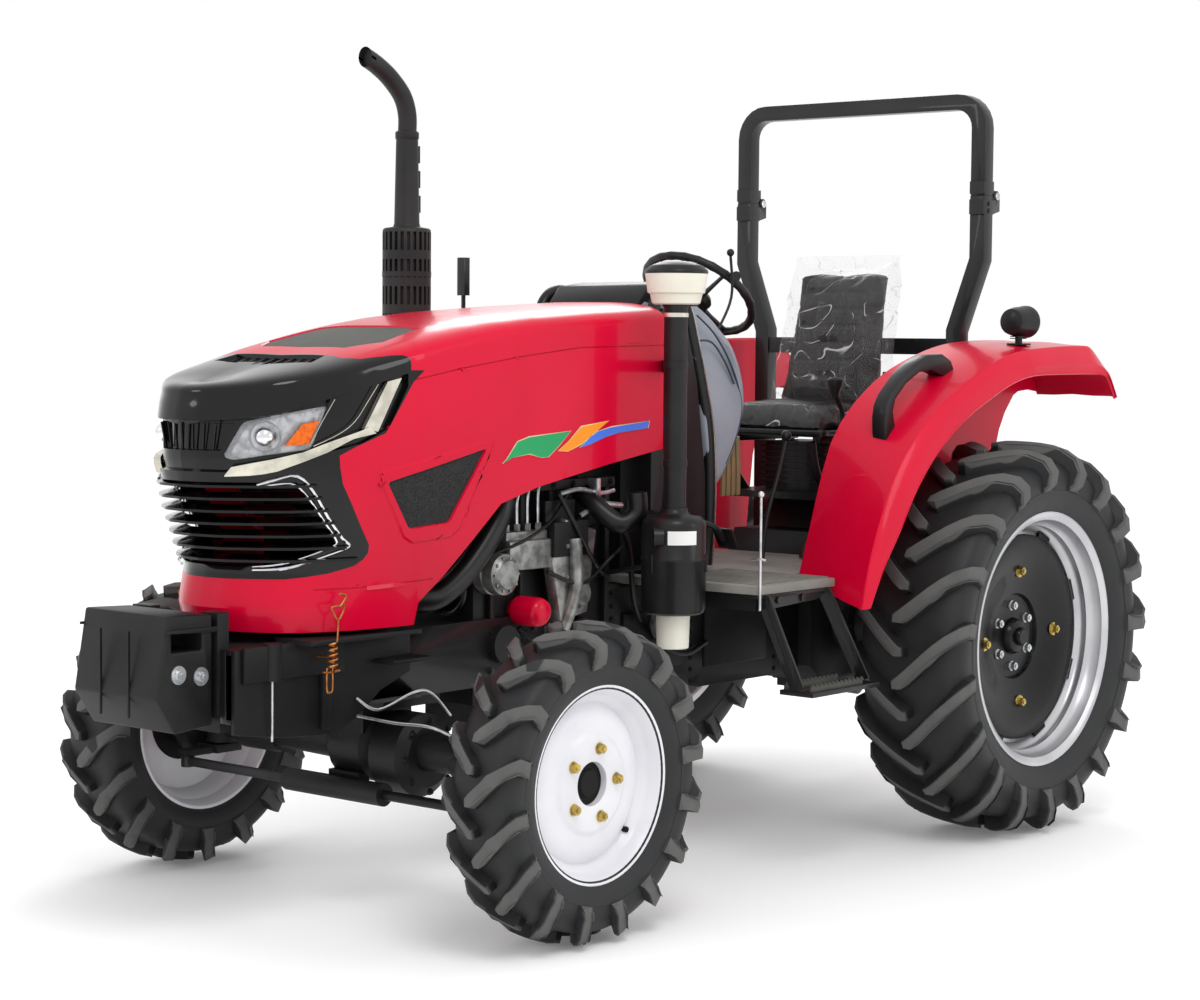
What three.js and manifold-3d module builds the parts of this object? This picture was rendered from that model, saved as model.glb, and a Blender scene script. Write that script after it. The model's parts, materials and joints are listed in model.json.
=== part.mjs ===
// A compact four-wheel-drive farm tractor with a folding roll bar.
// Millimetres. +Z is up, the tractor faces -Y and its left side is +X.
// While the pieces are made, the rear axle lies over y = 0 and the ground is z = 0.
import * as THREE from "three";
import { mergeVertices } from "three/addons/utils/BufferGeometryUtils.js";
import Module from "manifold-3d";

const wasm = await Module();
wasm.setup();

// ---- Driving dimensions ----
const SEAT_GAP = 0.3; // between two pieces that are bolted together
const RUNNING_GAP = 0.5; // radial clearance of a shaft in its bore
const WHEELBASE = 2095;
const ROUND = 24; // sides of a large round piece
const TYRE_ROUND = 32; // sides of a tyre
const SMALL_ROUND = 16; // sides of a small round piece

// Wheels: tyre radius and width, rim flange radius and width, bead seat radius, and the middle's x.
const FRONT = { tyre: 419, width: 205, rim: 261, rimWidth: 166, plane: 766, bead: 246 };
const REAR = { tyre: 624, width: 371, rim: 406, rimWidth: 311, plane: 770, bead: 384 };
const HUB_BORE = 58; // radius of the hole in the front disc's middle
const TYRE_WALL = 26;
const RIM_WALL = 8;
const DISC_WALL = 9;

// Front axle and steering.
const KINGPIN_X = 620;
const KINGPIN_RADIUS = 20;
const KINGPIN_BOSS = 46;
const FORK_GAP = 6; // between the axle's boss and each fork plate
const FORK_PLATE = 24;
const BOSS_HEIGHT = 130;
const AXLE_Z = FRONT.tyre;
const STEER_ARM = 130;
const TIE_ROD_RADIUS = 14;
const AXLE_TUBE = 62;

// Chassis castings.
const RAIL_X = 165; // inner face of a frame rail
const RAIL_THICK = 22;
const RAIL_Z = [585, 775];
const NOSE_Y = -WHEELBASE - 695; // front end of the rails, and the tip of the hood
const nose = (distance) => NOSE_Y + distance; // y of a point that far behind the nose
const RAIL_REAR = -1560;
const ENGINE = { half: 164, front: -1850, rear: -1260, low: 530, high: 1290 };
const CLUTCH = { half: 165, rear: -760 };
const GEARBOX = { half: 125, rear: -230, low: 470, high: 800 };
const REAR_CASE = { half: 175, rear: 215, low: 430, high: 930 };
const REAR_AXLE_Z = REAR.tyre;
const TRUMPET_RADIUS = 78;
const TRUMPET_END = 585;
const REAR_SHAFT = 42;

// Hood.
const HOOD_HALF = 318;
const HOOD_WALL = 14;
const HOOD_LOW = 806; // lower edge of the bumper under the grille
const HOOD_REAR = -1185;
const HOOD_HINGE = { y: -1215, z: 1645 };
const HINGE_PIN = 6; // radius of the hood's two hinge pins

// Operator's place.
const FLOOR_Z = 858;
const FLOOR_THICK = 26;
const FLOOR_OUT = 680;
const FLOOR_FRONT = -1200;
const CONSOLE = { half: 232, front: -1172, rear: -650, top: 1590 };
const FENDER = { inner: 500, outer: 800, wall: 10, lip: 140 };
// The fender's upper line, as degrees round the rear axle and the reach beyond the tyre's tread.
const FENDER_TOP = [
  [167.8, 210],
  [153.6, 222],
  [139.7, 252],
  [127.4, 258],
  [114.8, 258],
  [101.6, 270],
  [88.8, 302],
  [76.9, 347],
  [66.1, 413],
  [60.5, 453],
];
// The rear and lower corners of its inner wall, given the same way.
const FENDER_WALL = [
  [57, 349],
  [57.9, -3],
  [30.4, -276],
];
const SEAT_Z = 1290;
const SEAT_Y = -20;

// Roll bar: a bent rectangular tube, wide x deep.
const BAR_WIDE = 56;
const BAR_DEEP = 52;
const BAR_Y = 280; // rear axle to the tube's middle
const BAR_HINGE_Z = 2052;
const BAR_TOP = 2392;
const BAR_HALF = 515;
const BAR_FOOT_X = 400;
const BAR_SEAT = 93.9; // rear axle to the bar's seat on the axle case
const BAR_FOOT_THICK = 27;
const BAR_LEAN = 240; // height over which each post leans outwards
const BAR_STUB = 40; // least upright length under the hinge

// Rear linkage: the arms and lower links form a parallelogram with the lift rods.
const LIFT_ARM = 330;
const ROCKSHAFT = { y: 60, z: 985, radius: 34 };
const LINK_PIVOT = { y: 60, z: 455 };
const LINK_LENGTH = 700;
const LINK_DROP = THREE.MathUtils.degToRad(14);
const ARM_X = 235;
const ROD_X = 275;
const LINK_X = 315;
const LINK_PIN = 14; // radius of the pin that carries both lower links

// ---- Materials ----
const paint = (color, roughness, metalness) =>
  new THREE.MeshStandardMaterial({ color, roughness, metalness });
const RED = paint(0xc8142f, 0.25, 0.2);
const GLOSS_BLACK = paint(0x0c0c0e, 0.12, 0.1);
const SATIN_BLACK = paint(0x15161a, 0.45, 0.2);
const CAST_BLACK = paint(0x1a1b1e, 0.6, 0.4);
const GREY_PLASTIC = paint(0x8d94a3, 0.5, 0);
const DARK_MAT = paint(0x303336, 0.85, 0);
const RUBBER = paint(0x1d1e20, 0.8, 0);
const WHITE_STEEL = paint(0xe2e3e4, 0.35, 0.3);
const SILVER_STEEL = paint(0xb8babd, 0.35, 0.8);
const ALLOY = paint(0x9a9da0, 0.5, 0.8);
const VINYL = paint(0x17181a, 0.5, 0);
const CREAM = paint(0xe5dfcc, 0.3, 0);
const CLEAR_LENS = paint(0xdfe6ea, 0.05, 0);

// ---- Shape helpers ----
const tractor = new THREE.Group();

// A closed three.js geometry as a manifold solid.
function solid(geometry) {
  const plain = geometry.clone();
  plain.deleteAttribute("normal");
  plain.deleteAttribute("uv");
  const merged = mergeVertices(plain, 1e-3);
  return new wasm.Manifold(
    new wasm.Mesh({
      numProp: 3,
      vertProperties: new Float32Array(merged.attributes.position.array),
      triVerts: new Uint32Array(merged.index.array),
    }),
  );
}

// A manifold solid as a named mesh of the tractor.
function add(name, body, material) {
  const mesh = body.getMesh();
  const geometry = new THREE.BufferGeometry();
  geometry.setAttribute("position", new THREE.BufferAttribute(mesh.vertProperties, 3));
  geometry.setIndex(new THREE.BufferAttribute(mesh.triVerts, 1));
  geometry.computeVertexNormals();
  const piece = new THREE.Mesh(geometry, material);
  piece.name = name;
  tractor.add(piece);
}

const join = (...bodies) => bodies.reduce((whole, body) => whole.add(body));

// A block between two corners.
function block(x0, x1, y0, y1, z0, z1) {
  const geometry = new THREE.BoxGeometry(x1 - x0, y1 - y0, z1 - z0);
  geometry.translate((x0 + x1) / 2, (y0 + y1) / 2, (z0 + z1) / 2);
  return solid(geometry);
}

// A cylinder or cone from one point to another.
function rod(from, to, radius, endRadius = radius, sides = SMALL_ROUND) {
  const a = new THREE.Vector3(...from);
  const b = new THREE.Vector3(...to);
  const geometry = new THREE.CylinderGeometry(endRadius, radius, a.distanceTo(b), sides);
  const turn = new THREE.Quaternion().setFromUnitVectors(
    new THREE.Vector3(0, 1, 0),
    b.clone().sub(a).normalize(),
  );
  geometry.applyQuaternion(turn);
  const middle = a.add(b).multiplyScalar(0.5);
  geometry.translate(middle.x, middle.y, middle.z);
  return solid(geometry);
}

// The bore in which a shaft of that radius turns freely: its flats stay clear of the shaft's corners.
function bore(from, to, radius, sides = SMALL_ROUND) {
  const clear = (radius + RUNNING_GAP) / Math.cos(Math.PI / sides);
  return rod(from, to, clear, clear, sides);
}

// A solid of revolution about the x axis through (y, z); the profile's points are [x, radius].
function turned(profile, y, z, sides = ROUND) {
  const points = profile.map(([x, radius]) => new THREE.Vector2(radius, x));
  if (THREE.ShapeUtils.area(points) < 0) {
    points.reverse(); // a lathe faces outwards when its profile runs anticlockwise
  }
  const geometry = new THREE.LatheGeometry(points, sides);
  geometry.rotateZ(-Math.PI / 2);
  geometry.translate(0, y, z);
  return solid(geometry);
}

// An outline of [y, z] points, extruded from x0 to x1.
function sidePlate(outline, x0, x1) {
  const shape = new THREE.Shape(outline.map(([y, z]) => new THREE.Vector2(y, z)));
  const geometry = new THREE.ExtrudeGeometry(shape, { depth: x1 - x0, bevelEnabled: false });
  geometry.applyMatrix4(new THREE.Matrix4().set(0, 0, 1, x0, 1, 0, 0, 0, 0, 1, 0, 0, 0, 0, 0, 1));
  return solid(geometry);
}

// An outline of [x, z] points, extruded from y0 to y1.
function crossPlate(outline, y0, y1) {
  const shape = new THREE.Shape(outline.map(([x, z]) => new THREE.Vector2(x, z)));
  const geometry = new THREE.ExtrudeGeometry(shape, { depth: y1 - y0, bevelEnabled: false });
  geometry.rotateX(Math.PI / 2);
  geometry.translate(0, y1, 0);
  return solid(geometry);
}

// An outline of [x, y] points, extruded from z0 to z1.
function levelPlate(outline, z0, z1) {
  const shape = new THREE.Shape(outline.map(([x, y]) => new THREE.Vector2(x, y)));
  const geometry = new THREE.ExtrudeGeometry(shape, { depth: z1 - z0, bevelEnabled: false });
  geometry.translate(0, 0, z0);
  return solid(geometry);
}

// A tube or bar of the given section along a smooth curve through the points.
function swept(points, section, steps) {
  const path = new THREE.CatmullRomCurve3(
    points.map((p) => new THREE.Vector3(...p)),
    false,
    "centripetal",
  );
  return solid(
    new THREE.ExtrudeGeometry(section, { steps, bevelEnabled: false, extrudePath: path }),
  );
}

// A round section for a swept tube.
function disc(radius, sides = 10) {
  const points = [];
  for (let i = 0; i < sides; i += 1) {
    const angle = (2 * Math.PI * i) / sides;
    points.push(new THREE.Vector2(radius * Math.cos(angle), radius * Math.sin(angle)));
  }
  return new THREE.Shape(points);
}

// The mirror image on the tractor's right side of an outline or a profile in x.
const flip = (points) => points.map(([x, ...rest]) => [-x, ...rest]).reverse();

// The same solid on the tractor's right side.
const mirrored = (body) => body.mirror([1, 0, 0]);

// Adds a left piece and its mirror image on the right.
function addPair(name, body, material) {
  add(name + "_left", body, material);
  add(name + "_right", mirrored(body), material);
}

// ---- Wheels ----
// Tyre: a hollow ring open towards the rim, with a crowned tread and rounded shoulders.
function tyre(wheel, y, z) {
  const half = wheel.width / 2;
  const inner = wheel.rimWidth / 2 - RIM_WALL;
  const middle = (wheel.rim + wheel.tyre) / 2;
  return turned(
    [
      [wheel.plane - inner + SEAT_GAP, wheel.bead + SEAT_GAP],
      [wheel.plane - inner + SEAT_GAP, wheel.rim + 2],
      [wheel.plane - half + 8, wheel.rim + 30],
      [wheel.plane - half, middle],
      [wheel.plane - half + 10, wheel.tyre - 26],
      [wheel.plane - half * 0.55, wheel.tyre - 6],
      [wheel.plane, wheel.tyre],
      [wheel.plane + half * 0.55, wheel.tyre - 6],
      [wheel.plane + half - 10, wheel.tyre - 26],
      [wheel.plane + half, middle],
      [wheel.plane + half - 8, wheel.rim + 30],
      [wheel.plane + inner - SEAT_GAP, wheel.rim + 2],
      [wheel.plane + inner - SEAT_GAP, wheel.bead + SEAT_GAP],
      [wheel.plane + inner - TYRE_WALL, wheel.bead + SEAT_GAP],
      [wheel.plane + half - TYRE_WALL, middle],
      [wheel.plane, wheel.tyre - TYRE_WALL - 14],
      [wheel.plane - half + TYRE_WALL, middle],
      [wheel.plane - inner + TYRE_WALL, wheel.bead + SEAT_GAP],
      [wheel.plane - inner + SEAT_GAP, wheel.bead + SEAT_GAP],
    ],
    y,
    z,
    TYRE_ROUND,
  );
}

// Rim: a drop-centre barrel with a flange at each edge; web is the disc's own part of the profile.
function rim(wheel, y, z) {
  const edge = wheel.rimWidth / 2;
  const left = wheel.plane - edge;
  const right = wheel.plane + edge;
  return turned(
    [
      [left, wheel.bead - RIM_WALL],
      [left, wheel.rim],
      [left + RIM_WALL - SEAT_GAP, wheel.rim],
      [left + RIM_WALL - SEAT_GAP, wheel.bead],
      [right - RIM_WALL + SEAT_GAP, wheel.bead],
      [right - RIM_WALL + SEAT_GAP, wheel.rim],
      [right, wheel.rim],
      [right, wheel.bead - RIM_WALL],
      [left, wheel.bead - RIM_WALL],
    ],
    y,
    z,
    TYRE_ROUND,
  );
}

const FRONT_Y = -WHEELBASE;
const FRONT_DISC_X = 820; // outer face of the front wheel's disc
const HUB_FLANGE = 14;
const HUB_FLANGE_RADIUS = 122;
const HUB_DRUM = 62;
const HUB_DRUM_RADIUS = 78;
const hubInner = FRONT_DISC_X - DISC_WALL - HUB_FLANGE - HUB_DRUM;
const frontHoleRadius = FRONT.bead - RIM_WALL;

// The front rim and its disc are one welded piece.
const frontDisc = turned(
  [
    [FRONT_DISC_X, HUB_BORE],
    [FRONT_DISC_X, 150],
    [FRONT_DISC_X - 16, 175],
    [FRONT_DISC_X - 16, frontHoleRadius + 2],
    [FRONT_DISC_X - 16 - DISC_WALL, frontHoleRadius + 2],
    [FRONT_DISC_X - 16 - DISC_WALL, 175],
    [FRONT_DISC_X - DISC_WALL, 150],
    [FRONT_DISC_X - DISC_WALL, HUB_BORE],
    [FRONT_DISC_X, HUB_BORE],
  ],
  FRONT_Y,
  AXLE_Z,
  TYRE_ROUND,
);
addPair("front_tyre", tyre(FRONT, FRONT_Y, AXLE_Z), RUBBER);

// The hub bolts through the disc's middle and turns on the spindle of the knuckle.
const hubFace = FRONT_DISC_X - 2;
const SPINDLE_RADIUS = 30;
const SPINDLE_DEPTH = 40;
const frontHub = join(
  rod(
    [hubFace - HUB_FLANGE - DISC_WALL, FRONT_Y, AXLE_Z],
    [hubFace, FRONT_Y, AXLE_Z],
    HUB_FLANGE_RADIUS,
    HUB_FLANGE_RADIUS,
    ROUND,
  ),
  rod([hubInner, FRONT_Y, AXLE_Z], [FRONT_DISC_X + 4, FRONT_Y, AXLE_Z], HUB_DRUM_RADIUS),
).subtract(
  bore(
    [hubInner - 1, FRONT_Y, AXLE_Z],
    [hubInner + SPINDLE_DEPTH + 5, FRONT_Y, AXLE_Z],
    SPINDLE_RADIUS,
    ROUND,
  ),
);
addPair("front_rim", join(rim(FRONT, FRONT_Y, AXLE_Z), frontDisc, frontHub), WHITE_STEEL);

// Knuckle: a fork round the axle's boss, its kingpin, the final drive drum, spindle and steering arm.
const knuckleZ = AXLE_Z + 20; // middle of the kingpin boss
const bossTop = knuckleZ + BOSS_HEIGHT / 2;
const bossLow = knuckleZ - BOSS_HEIGHT / 2;
const drumX = KINGPIN_X + KINGPIN_BOSS + 8;
const forkTop = bossTop + FORK_GAP;
const forkLow = bossLow - FORK_GAP;
const armZ = forkLow - FORK_PLATE;
const knuckle = join(
  block(KINGPIN_X - 34, drumX + 12, FRONT_Y - 48, FRONT_Y + 48, forkTop, forkTop + FORK_PLATE),
  block(KINGPIN_X - 34, drumX + 12, FRONT_Y - 48, FRONT_Y + 48, armZ, forkLow),
  block(drumX, drumX + 18, FRONT_Y - 60, FRONT_Y + 60, armZ, forkTop + FORK_PLATE),
  rod([drumX, FRONT_Y, AXLE_Z], [hubInner - 6, FRONT_Y, AXLE_Z], 92, 92, ROUND),
  rod([KINGPIN_X, FRONT_Y, armZ], [KINGPIN_X, FRONT_Y, forkTop + FORK_PLATE], KINGPIN_RADIUS),
  rod(
    [drumX, FRONT_Y, AXLE_Z],
    [hubInner + SPINDLE_DEPTH, FRONT_Y, AXLE_Z],
    SPINDLE_RADIUS,
    SPINDLE_RADIUS,
    ROUND,
  ),
  block(KINGPIN_X - 20, KINGPIN_X + 20, FRONT_Y - STEER_ARM - 22, FRONT_Y - 40, armZ, armZ + 20),
);
addPair("steering_knuckle", knuckle, CAST_BLACK);

// Front axle: a tube with a differential in its middle, a boss at each end and a pivot on top.
const AXLE_PIVOT_Z = RAIL_Z[0] - 30;
const axleEnd = KINGPIN_X - 10;
const bossBore = bore(
  [KINGPIN_X, FRONT_Y, bossLow - 1],
  [KINGPIN_X, FRONT_Y, bossTop + 1],
  KINGPIN_RADIUS,
);
const axleHalf = join(
  rod([0, FRONT_Y, knuckleZ], [axleEnd, FRONT_Y, knuckleZ], AXLE_TUBE, AXLE_TUBE - 14),
  rod([KINGPIN_X, FRONT_Y, bossLow], [KINGPIN_X, FRONT_Y, bossTop], KINGPIN_BOSS),
).subtract(bossBore);
const axle = join(
  axleHalf,
  mirrored(axleHalf),
  turned(
    [
      [60, 0],
      [60, 105],
      [110, 60],
      [110, 0],
    ],
    FRONT_Y,
    knuckleZ,
  ).add(rod([-60, FRONT_Y, knuckleZ], [60.5, FRONT_Y, knuckleZ], 105, 105, ROUND)),
  mirrored(
    turned(
      [
        [59, 0],
        [59, 105],
        [110, 60],
        [110, 0],
      ],
      FRONT_Y,
      knuckleZ,
    ),
  ),
  block(-70, 70, FRONT_Y - 95, FRONT_Y + 95, knuckleZ + 40, AXLE_PIVOT_Z),
);

// Tie rod and double-acting steering cylinder: the rod slides across in the cylinder's bore.
const tieY = FRONT_Y - STEER_ARM;
const tieZ = armZ - TIE_ROD_RADIUS - 1;
const tieRod = join(
  rod([-KINGPIN_X, tieY, tieZ], [KINGPIN_X, tieY, tieZ], TIE_ROD_RADIUS),
  rod([KINGPIN_X, tieY, tieZ - 16], [KINGPIN_X, tieY, tieZ + 14.5], 20),
  rod([-KINGPIN_X, tieY, tieZ - 16], [-KINGPIN_X, tieY, tieZ + 14.5], 20),
);
add("tie_rod", tieRod, SILVER_STEEL);
const CYLINDER_HALF = 190;
const cylinder = join(
  rod([-CYLINDER_HALF, tieY, tieZ], [CYLINDER_HALF, tieY, tieZ], 32),
  block(-60, 60, tieY - 20, FRONT_Y - 60, tieZ - 12, tieZ + 12),
  block(-60, 60, FRONT_Y - 100, FRONT_Y - 60, tieZ - 12, knuckleZ - 70),
).subtract(
  bore([-CYLINDER_HALF - 1, tieY, tieZ], [CYLINDER_HALF + 1, tieY, tieZ], TIE_ROD_RADIUS),
);
add("front_axle", join(axle, cylinder), CAST_BLACK);

// Rear wheels: a silver rim, and a dished disc bolted in it with the axle shaft's boss.
addPair("rear_rim", rim(REAR, 0, REAR_AXLE_Z), SILVER_STEEL);
addPair("rear_tyre", tyre(REAR, 0, REAR_AXLE_Z), RUBBER);
const REAR_DISC_X = 845; // outer face of the disc's bolt ring
const HUB_END_X = REAR.plane + REAR.rimWidth / 2 - 4;
const rearHole = REAR.bead - RIM_WALL - SEAT_GAP;
const rearDisc = turned(
  [
    [REAR_DISC_X - 50, 0],
    [REAR_DISC_X - 50, 150],
    [REAR_DISC_X - 30, 235],
    [REAR_DISC_X, 290],
    [REAR_DISC_X, rearHole],
    [REAR_DISC_X - DISC_WALL, rearHole],
    [REAR_DISC_X - DISC_WALL, 290],
    [REAR_DISC_X - 30 - DISC_WALL, 235],
    [REAR_DISC_X - 50 - DISC_WALL, 150],
    [REAR_DISC_X - 50 - DISC_WALL, 0],
  ],
  0,
  REAR_AXLE_Z,
  TYRE_ROUND,
);
const rearHub = join(
  rearDisc,
  rod([REAR_DISC_X - 52, 0, REAR_AXLE_Z], [HUB_END_X, 0, REAR_AXLE_Z], 62, 40),
  rod([TRUMPET_END + 8, 0, REAR_AXLE_Z], [REAR_DISC_X - 52, 0, REAR_AXLE_Z], 80, 110, ROUND),
  rod(
    [TRUMPET_END - 90, 0, REAR_AXLE_Z],
    [TRUMPET_END + 9, 0, REAR_AXLE_Z],
    REAR_SHAFT,
    REAR_SHAFT,
    ROUND,
  ),
);
addPair("rear_disc", rearHub, SATIN_BLACK);

// ---- Chassis ----
// Rear axle case with its trumpets, the gearbox, clutch case and engine bolt end to end.
const trumpet = rod(
  [REAR_CASE.half - 5, 0, REAR_AXLE_Z],
  [TRUMPET_END, 0, REAR_AXLE_Z],
  TRUMPET_RADIUS + 30,
  TRUMPET_RADIUS,
  ROUND,
);
const shaftBore = bore(
  [TRUMPET_END - 100, 0, REAR_AXLE_Z],
  [TRUMPET_END + 1, 0, REAR_AXLE_Z],
  REAR_SHAFT,
  ROUND,
);
const caseBody = sidePlate(
  [
    [GEARBOX.rear + SEAT_GAP, REAR_CASE.low + 60],
    [GEARBOX.rear + 70, REAR_CASE.low],
    [REAR_CASE.rear - 20, REAR_CASE.low],
    [REAR_CASE.rear, REAR_CASE.low + 40],
    [REAR_CASE.rear, REAR_CASE.high - 60],
    [REAR_CASE.rear - 60, REAR_CASE.high],
    [GEARBOX.rear + 40, REAR_CASE.high],
    [GEARBOX.rear + SEAT_GAP, REAR_CASE.high - 80],
  ],
  -REAR_CASE.half,
  REAR_CASE.half,
);
const shaftHole = bore(
  [-ARM_X - 100, ROCKSHAFT.y, ROCKSHAFT.z],
  [ARM_X + 100, ROCKSHAFT.y, ROCKSHAFT.z],
  ROCKSHAFT.radius,
  ROUND,
);
const liftCase = sidePlate(
  [
    [ROCKSHAFT.y - 120, REAR_CASE.high - 5],
    [ROCKSHAFT.y + 120, REAR_CASE.high - 5],
    [ROCKSHAFT.y + 90, ROCKSHAFT.z + 55],
    [ROCKSHAFT.y - 90, ROCKSHAFT.z + 55],
  ],
  -150,
  150,
);
add(
  "rear_axle_case",
  join(
    caseBody,
    trumpet,
    mirrored(trumpet),
    liftCase,
    rod(
      [-LINK_X - 16, LINK_PIVOT.y, LINK_PIVOT.z],
      [LINK_X + 16, LINK_PIVOT.y, LINK_PIVOT.z],
      LINK_PIN,
    ),
    block(-40, 40, -120, 480, REAR_CASE.low - 34, REAR_CASE.low - 10),
    block(-60, 60, -120, 180, REAR_CASE.low - 11, REAR_CASE.low + 5),
    rod([0, REAR_CASE.rear - 5, 590], [0, REAR_CASE.rear + 80, 590], 18),
    block(-110, 110, REAR_CASE.rear - 5, REAR_CASE.rear + 110, 690, 702),
  )
    .subtract(shaftBore)
    .subtract(mirrored(shaftBore))
    .subtract(shaftHole),
  CAST_BLACK,
);
const clutchCase = crossPlate(
  [
    [-CLUTCH.half, 600],
    [-110, 480],
    [110, 480],
    [CLUTCH.half, 600],
    [CLUTCH.half, 820],
    [110, 880],
    [-110, 880],
    [-CLUTCH.half, 820],
  ],
  ENGINE.rear + SEAT_GAP,
  CLUTCH.rear,
);
add(
  "transmission",
  join(
    clutchCase,
    block(-GEARBOX.half, GEARBOX.half, CLUTCH.rear - 5, GEARBOX.rear, GEARBOX.low, GEARBOX.high),
  ).subtract(block(-400, 400, -2000, 0, FLOOR_Z - FLOOR_THICK - SEAT_GAP, 1000)),
  CAST_BLACK,
);
add(
  "engine",
  join(
    block(-ENGINE.half, ENGINE.half, ENGINE.front, ENGINE.rear, ENGINE.low, 1010),
    block(-ENGINE.half + 50, ENGINE.half - 40, ENGINE.front + 30, ENGINE.rear - 30, 1000, 1200),
    block(-80, 90, ENGINE.front + 50, ENGINE.rear - 50, 1190, ENGINE.high),
    block(-110, 110, ENGINE.front + 90, ENGINE.rear - 60, 440, ENGINE.low + 5),
    block(ENGINE.half - 1, ENGINE.half + 84, -1600, -1450, 940, 1040),
    block(ENGINE.half - 60, ENGINE.half + 40, -1590, -1460, 1035, 1100),
  ),
  CAST_BLACK,
);

// Frame rails run from the front bolster to the engine's sides.
const rail = block(RAIL_X, RAIL_X + RAIL_THICK, NOSE_Y, RAIL_REAR, RAIL_Z[0], RAIL_Z[1]);
addPair("frame_rail", rail, SATIN_BLACK);
const railInner = RAIL_X - SEAT_GAP;
add(
  "front_bolster",
  join(
    block(-railInner, railInner, NOSE_Y, NOSE_Y + 240, 560, RAIL_Z[1]),
    block(-railInner, railInner, NOSE_Y + 239, FRONT_Y + 160, RAIL_Z[1] - 30, RAIL_Z[1]),
    block(
      -railInner,
      railInner,
      FRONT_Y - 110,
      FRONT_Y + 110,
      AXLE_PIVOT_Z + SEAT_GAP,
      RAIL_Z[1] - 20,
    ),
    block(-60, 60, nose(85), nose(105), RAIL_Z[1] - 1, HOOD_LOW - 0.3),
  ),
  SATIN_BLACK,
);

// Front ballast: a boxed weight with a hand hole across it, on the bolster's nose.
const WEIGHT = { half: 162, front: nose(-205), rear: nose(-22), low: 573, high: 872 };
const weightOutline = [
  [WEIGHT.rear, WEIGHT.low + 10],
  [WEIGHT.front + 60, WEIGHT.low],
  [WEIGHT.front, WEIGHT.low + 92],
  [WEIGHT.front + 37, WEIGHT.high],
  [WEIGHT.rear, WEIGHT.high - 6],
];
add(
  "front_weight",
  join(
    sidePlate(weightOutline, -WEIGHT.half, WEIGHT.half),
    block(-110, 110, WEIGHT.rear - 5, NOSE_Y - SEAT_GAP, 610, 760),
  ).subtract(block(-200, 200, WEIGHT.rear - 132, WEIGHT.rear - 32, 778, 826)),
  SATIN_BLACK,
);

// The radiator stands on the bolster's deck under the hood.
const RADIATOR = { half: 225, front: nose(500), rear: nose(590), high: 1400 };
const radiatorBlock = block(
  -RADIATOR.half,
  RADIATOR.half,
  RADIATOR.front,
  RADIATOR.rear,
  RAIL_Z[1] + SEAT_GAP,
  RADIATOR.high,
);
add("radiator", radiatorBlock, CAST_BLACK);
const HOSE_RADIUS = 27;
add(
  "radiator_hose",
  swept(
    [
      [180, RADIATOR.rear + 1, 860],
      [200, RADIATOR.rear + 30, 860],
      [238, RADIATOR.rear + 120, 880],
      [240, -2000, 960],
      [236, -1930, 1050],
      [180, -1860, 1100],
      [126, -1819, 1110],
    ],
    disc(HOSE_RADIUS, 8),
    16,
  )
    .subtract(
      block(
        -ENGINE.half + 50,
        ENGINE.half - 40 + SEAT_GAP,
        ENGINE.front + 30 - SEAT_GAP,
        0,
        1000,
        1200,
      ),
    )
    .subtract(radiatorBlock.translate([0, SEAT_GAP, 0])),
  RUBBER,
);
const engineSide = block(-400, ENGINE.half + SEAT_GAP, -1900, -1200, 700, 1010);
add(
  "oil_filter",
  rod([ENGINE.half - 10, -1660, 832], [ENGINE.half + 110, -1660, 800], 42, 42, SMALL_ROUND)
    .subtract(engineSide),
  RED,
);
add(
  "alternator",
  join(
    rod([212, -1850, 905], [212, -1730, 905], 62, 62, ROUND),
    block(ENGINE.half - 10, 200, -1830, -1750, 880, 930),
    rod([212, -1885, 905], [212, -1849, 905], 32),
  ).subtract(engineSide),
  ALLOY,
);
// ---- Air intake on the left ----
const upright = ({ x, y }, low, high, ...rest) => rod([x, y, low], [x, y, high], ...rest);
const INTAKE = { x: 450, y: -1305, radius: 97, low: 790, high: 1055, pipe: 34 };
const BOWL_Z = 1668;
add(
  "air_cleaner",
  join(
    upright(INTAKE, INTAKE.low, INTAKE.high, INTAKE.radius, INTAKE.radius, ROUND),
    upright(INTAKE, INTAKE.high - 1, INTAKE.high + 26, INTAKE.radius, 50, ROUND),
    block(ENGINE.half + SEAT_GAP, INTAKE.x, INTAKE.y - 30, INTAKE.y + 30, 960, 1000),
    upright(INTAKE, INTAKE.low - 120, INTAKE.low + 1, 42, 50),
  ),
  SATIN_BLACK,
);
add(
  "air_hose",
  swept(
    [
      [INTAKE.x - INTAKE.radius - 1, INTAKE.y - 30, 1032],
      [320, -1350, 1045],
      [260, -1385, 1090],
      [200, -1405, 1150],
      [ENGINE.half - 40 + SEAT_GAP, -1410, 1160],
    ],
    disc(30),
    12,
  ).subtract(
    upright(INTAKE, 900, 1200, INTAKE.radius + SEAT_GAP, INTAKE.radius + SEAT_GAP, ROUND),
  ).subtract(block(-ENGINE.half, ENGINE.half - 40 + SEAT_GAP, -1700, -1200, 900, 1300)),
  RUBBER,
);
const pipeLow = INTAKE.high + 26 + SEAT_GAP;
add(
  "intake_pipe",
  join(
    upright(INTAKE, pipeLow, BOWL_Z - SEAT_GAP, INTAKE.pipe),
    block(CONSOLE.half + SEAT_GAP, INTAKE.x, -1160, -1135, 1440, 1480),
    block(INTAKE.x - 12, INTAKE.x + 12, INTAKE.y, -1136, 1440, 1480),
  ),
  SATIN_BLACK,
);
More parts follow.
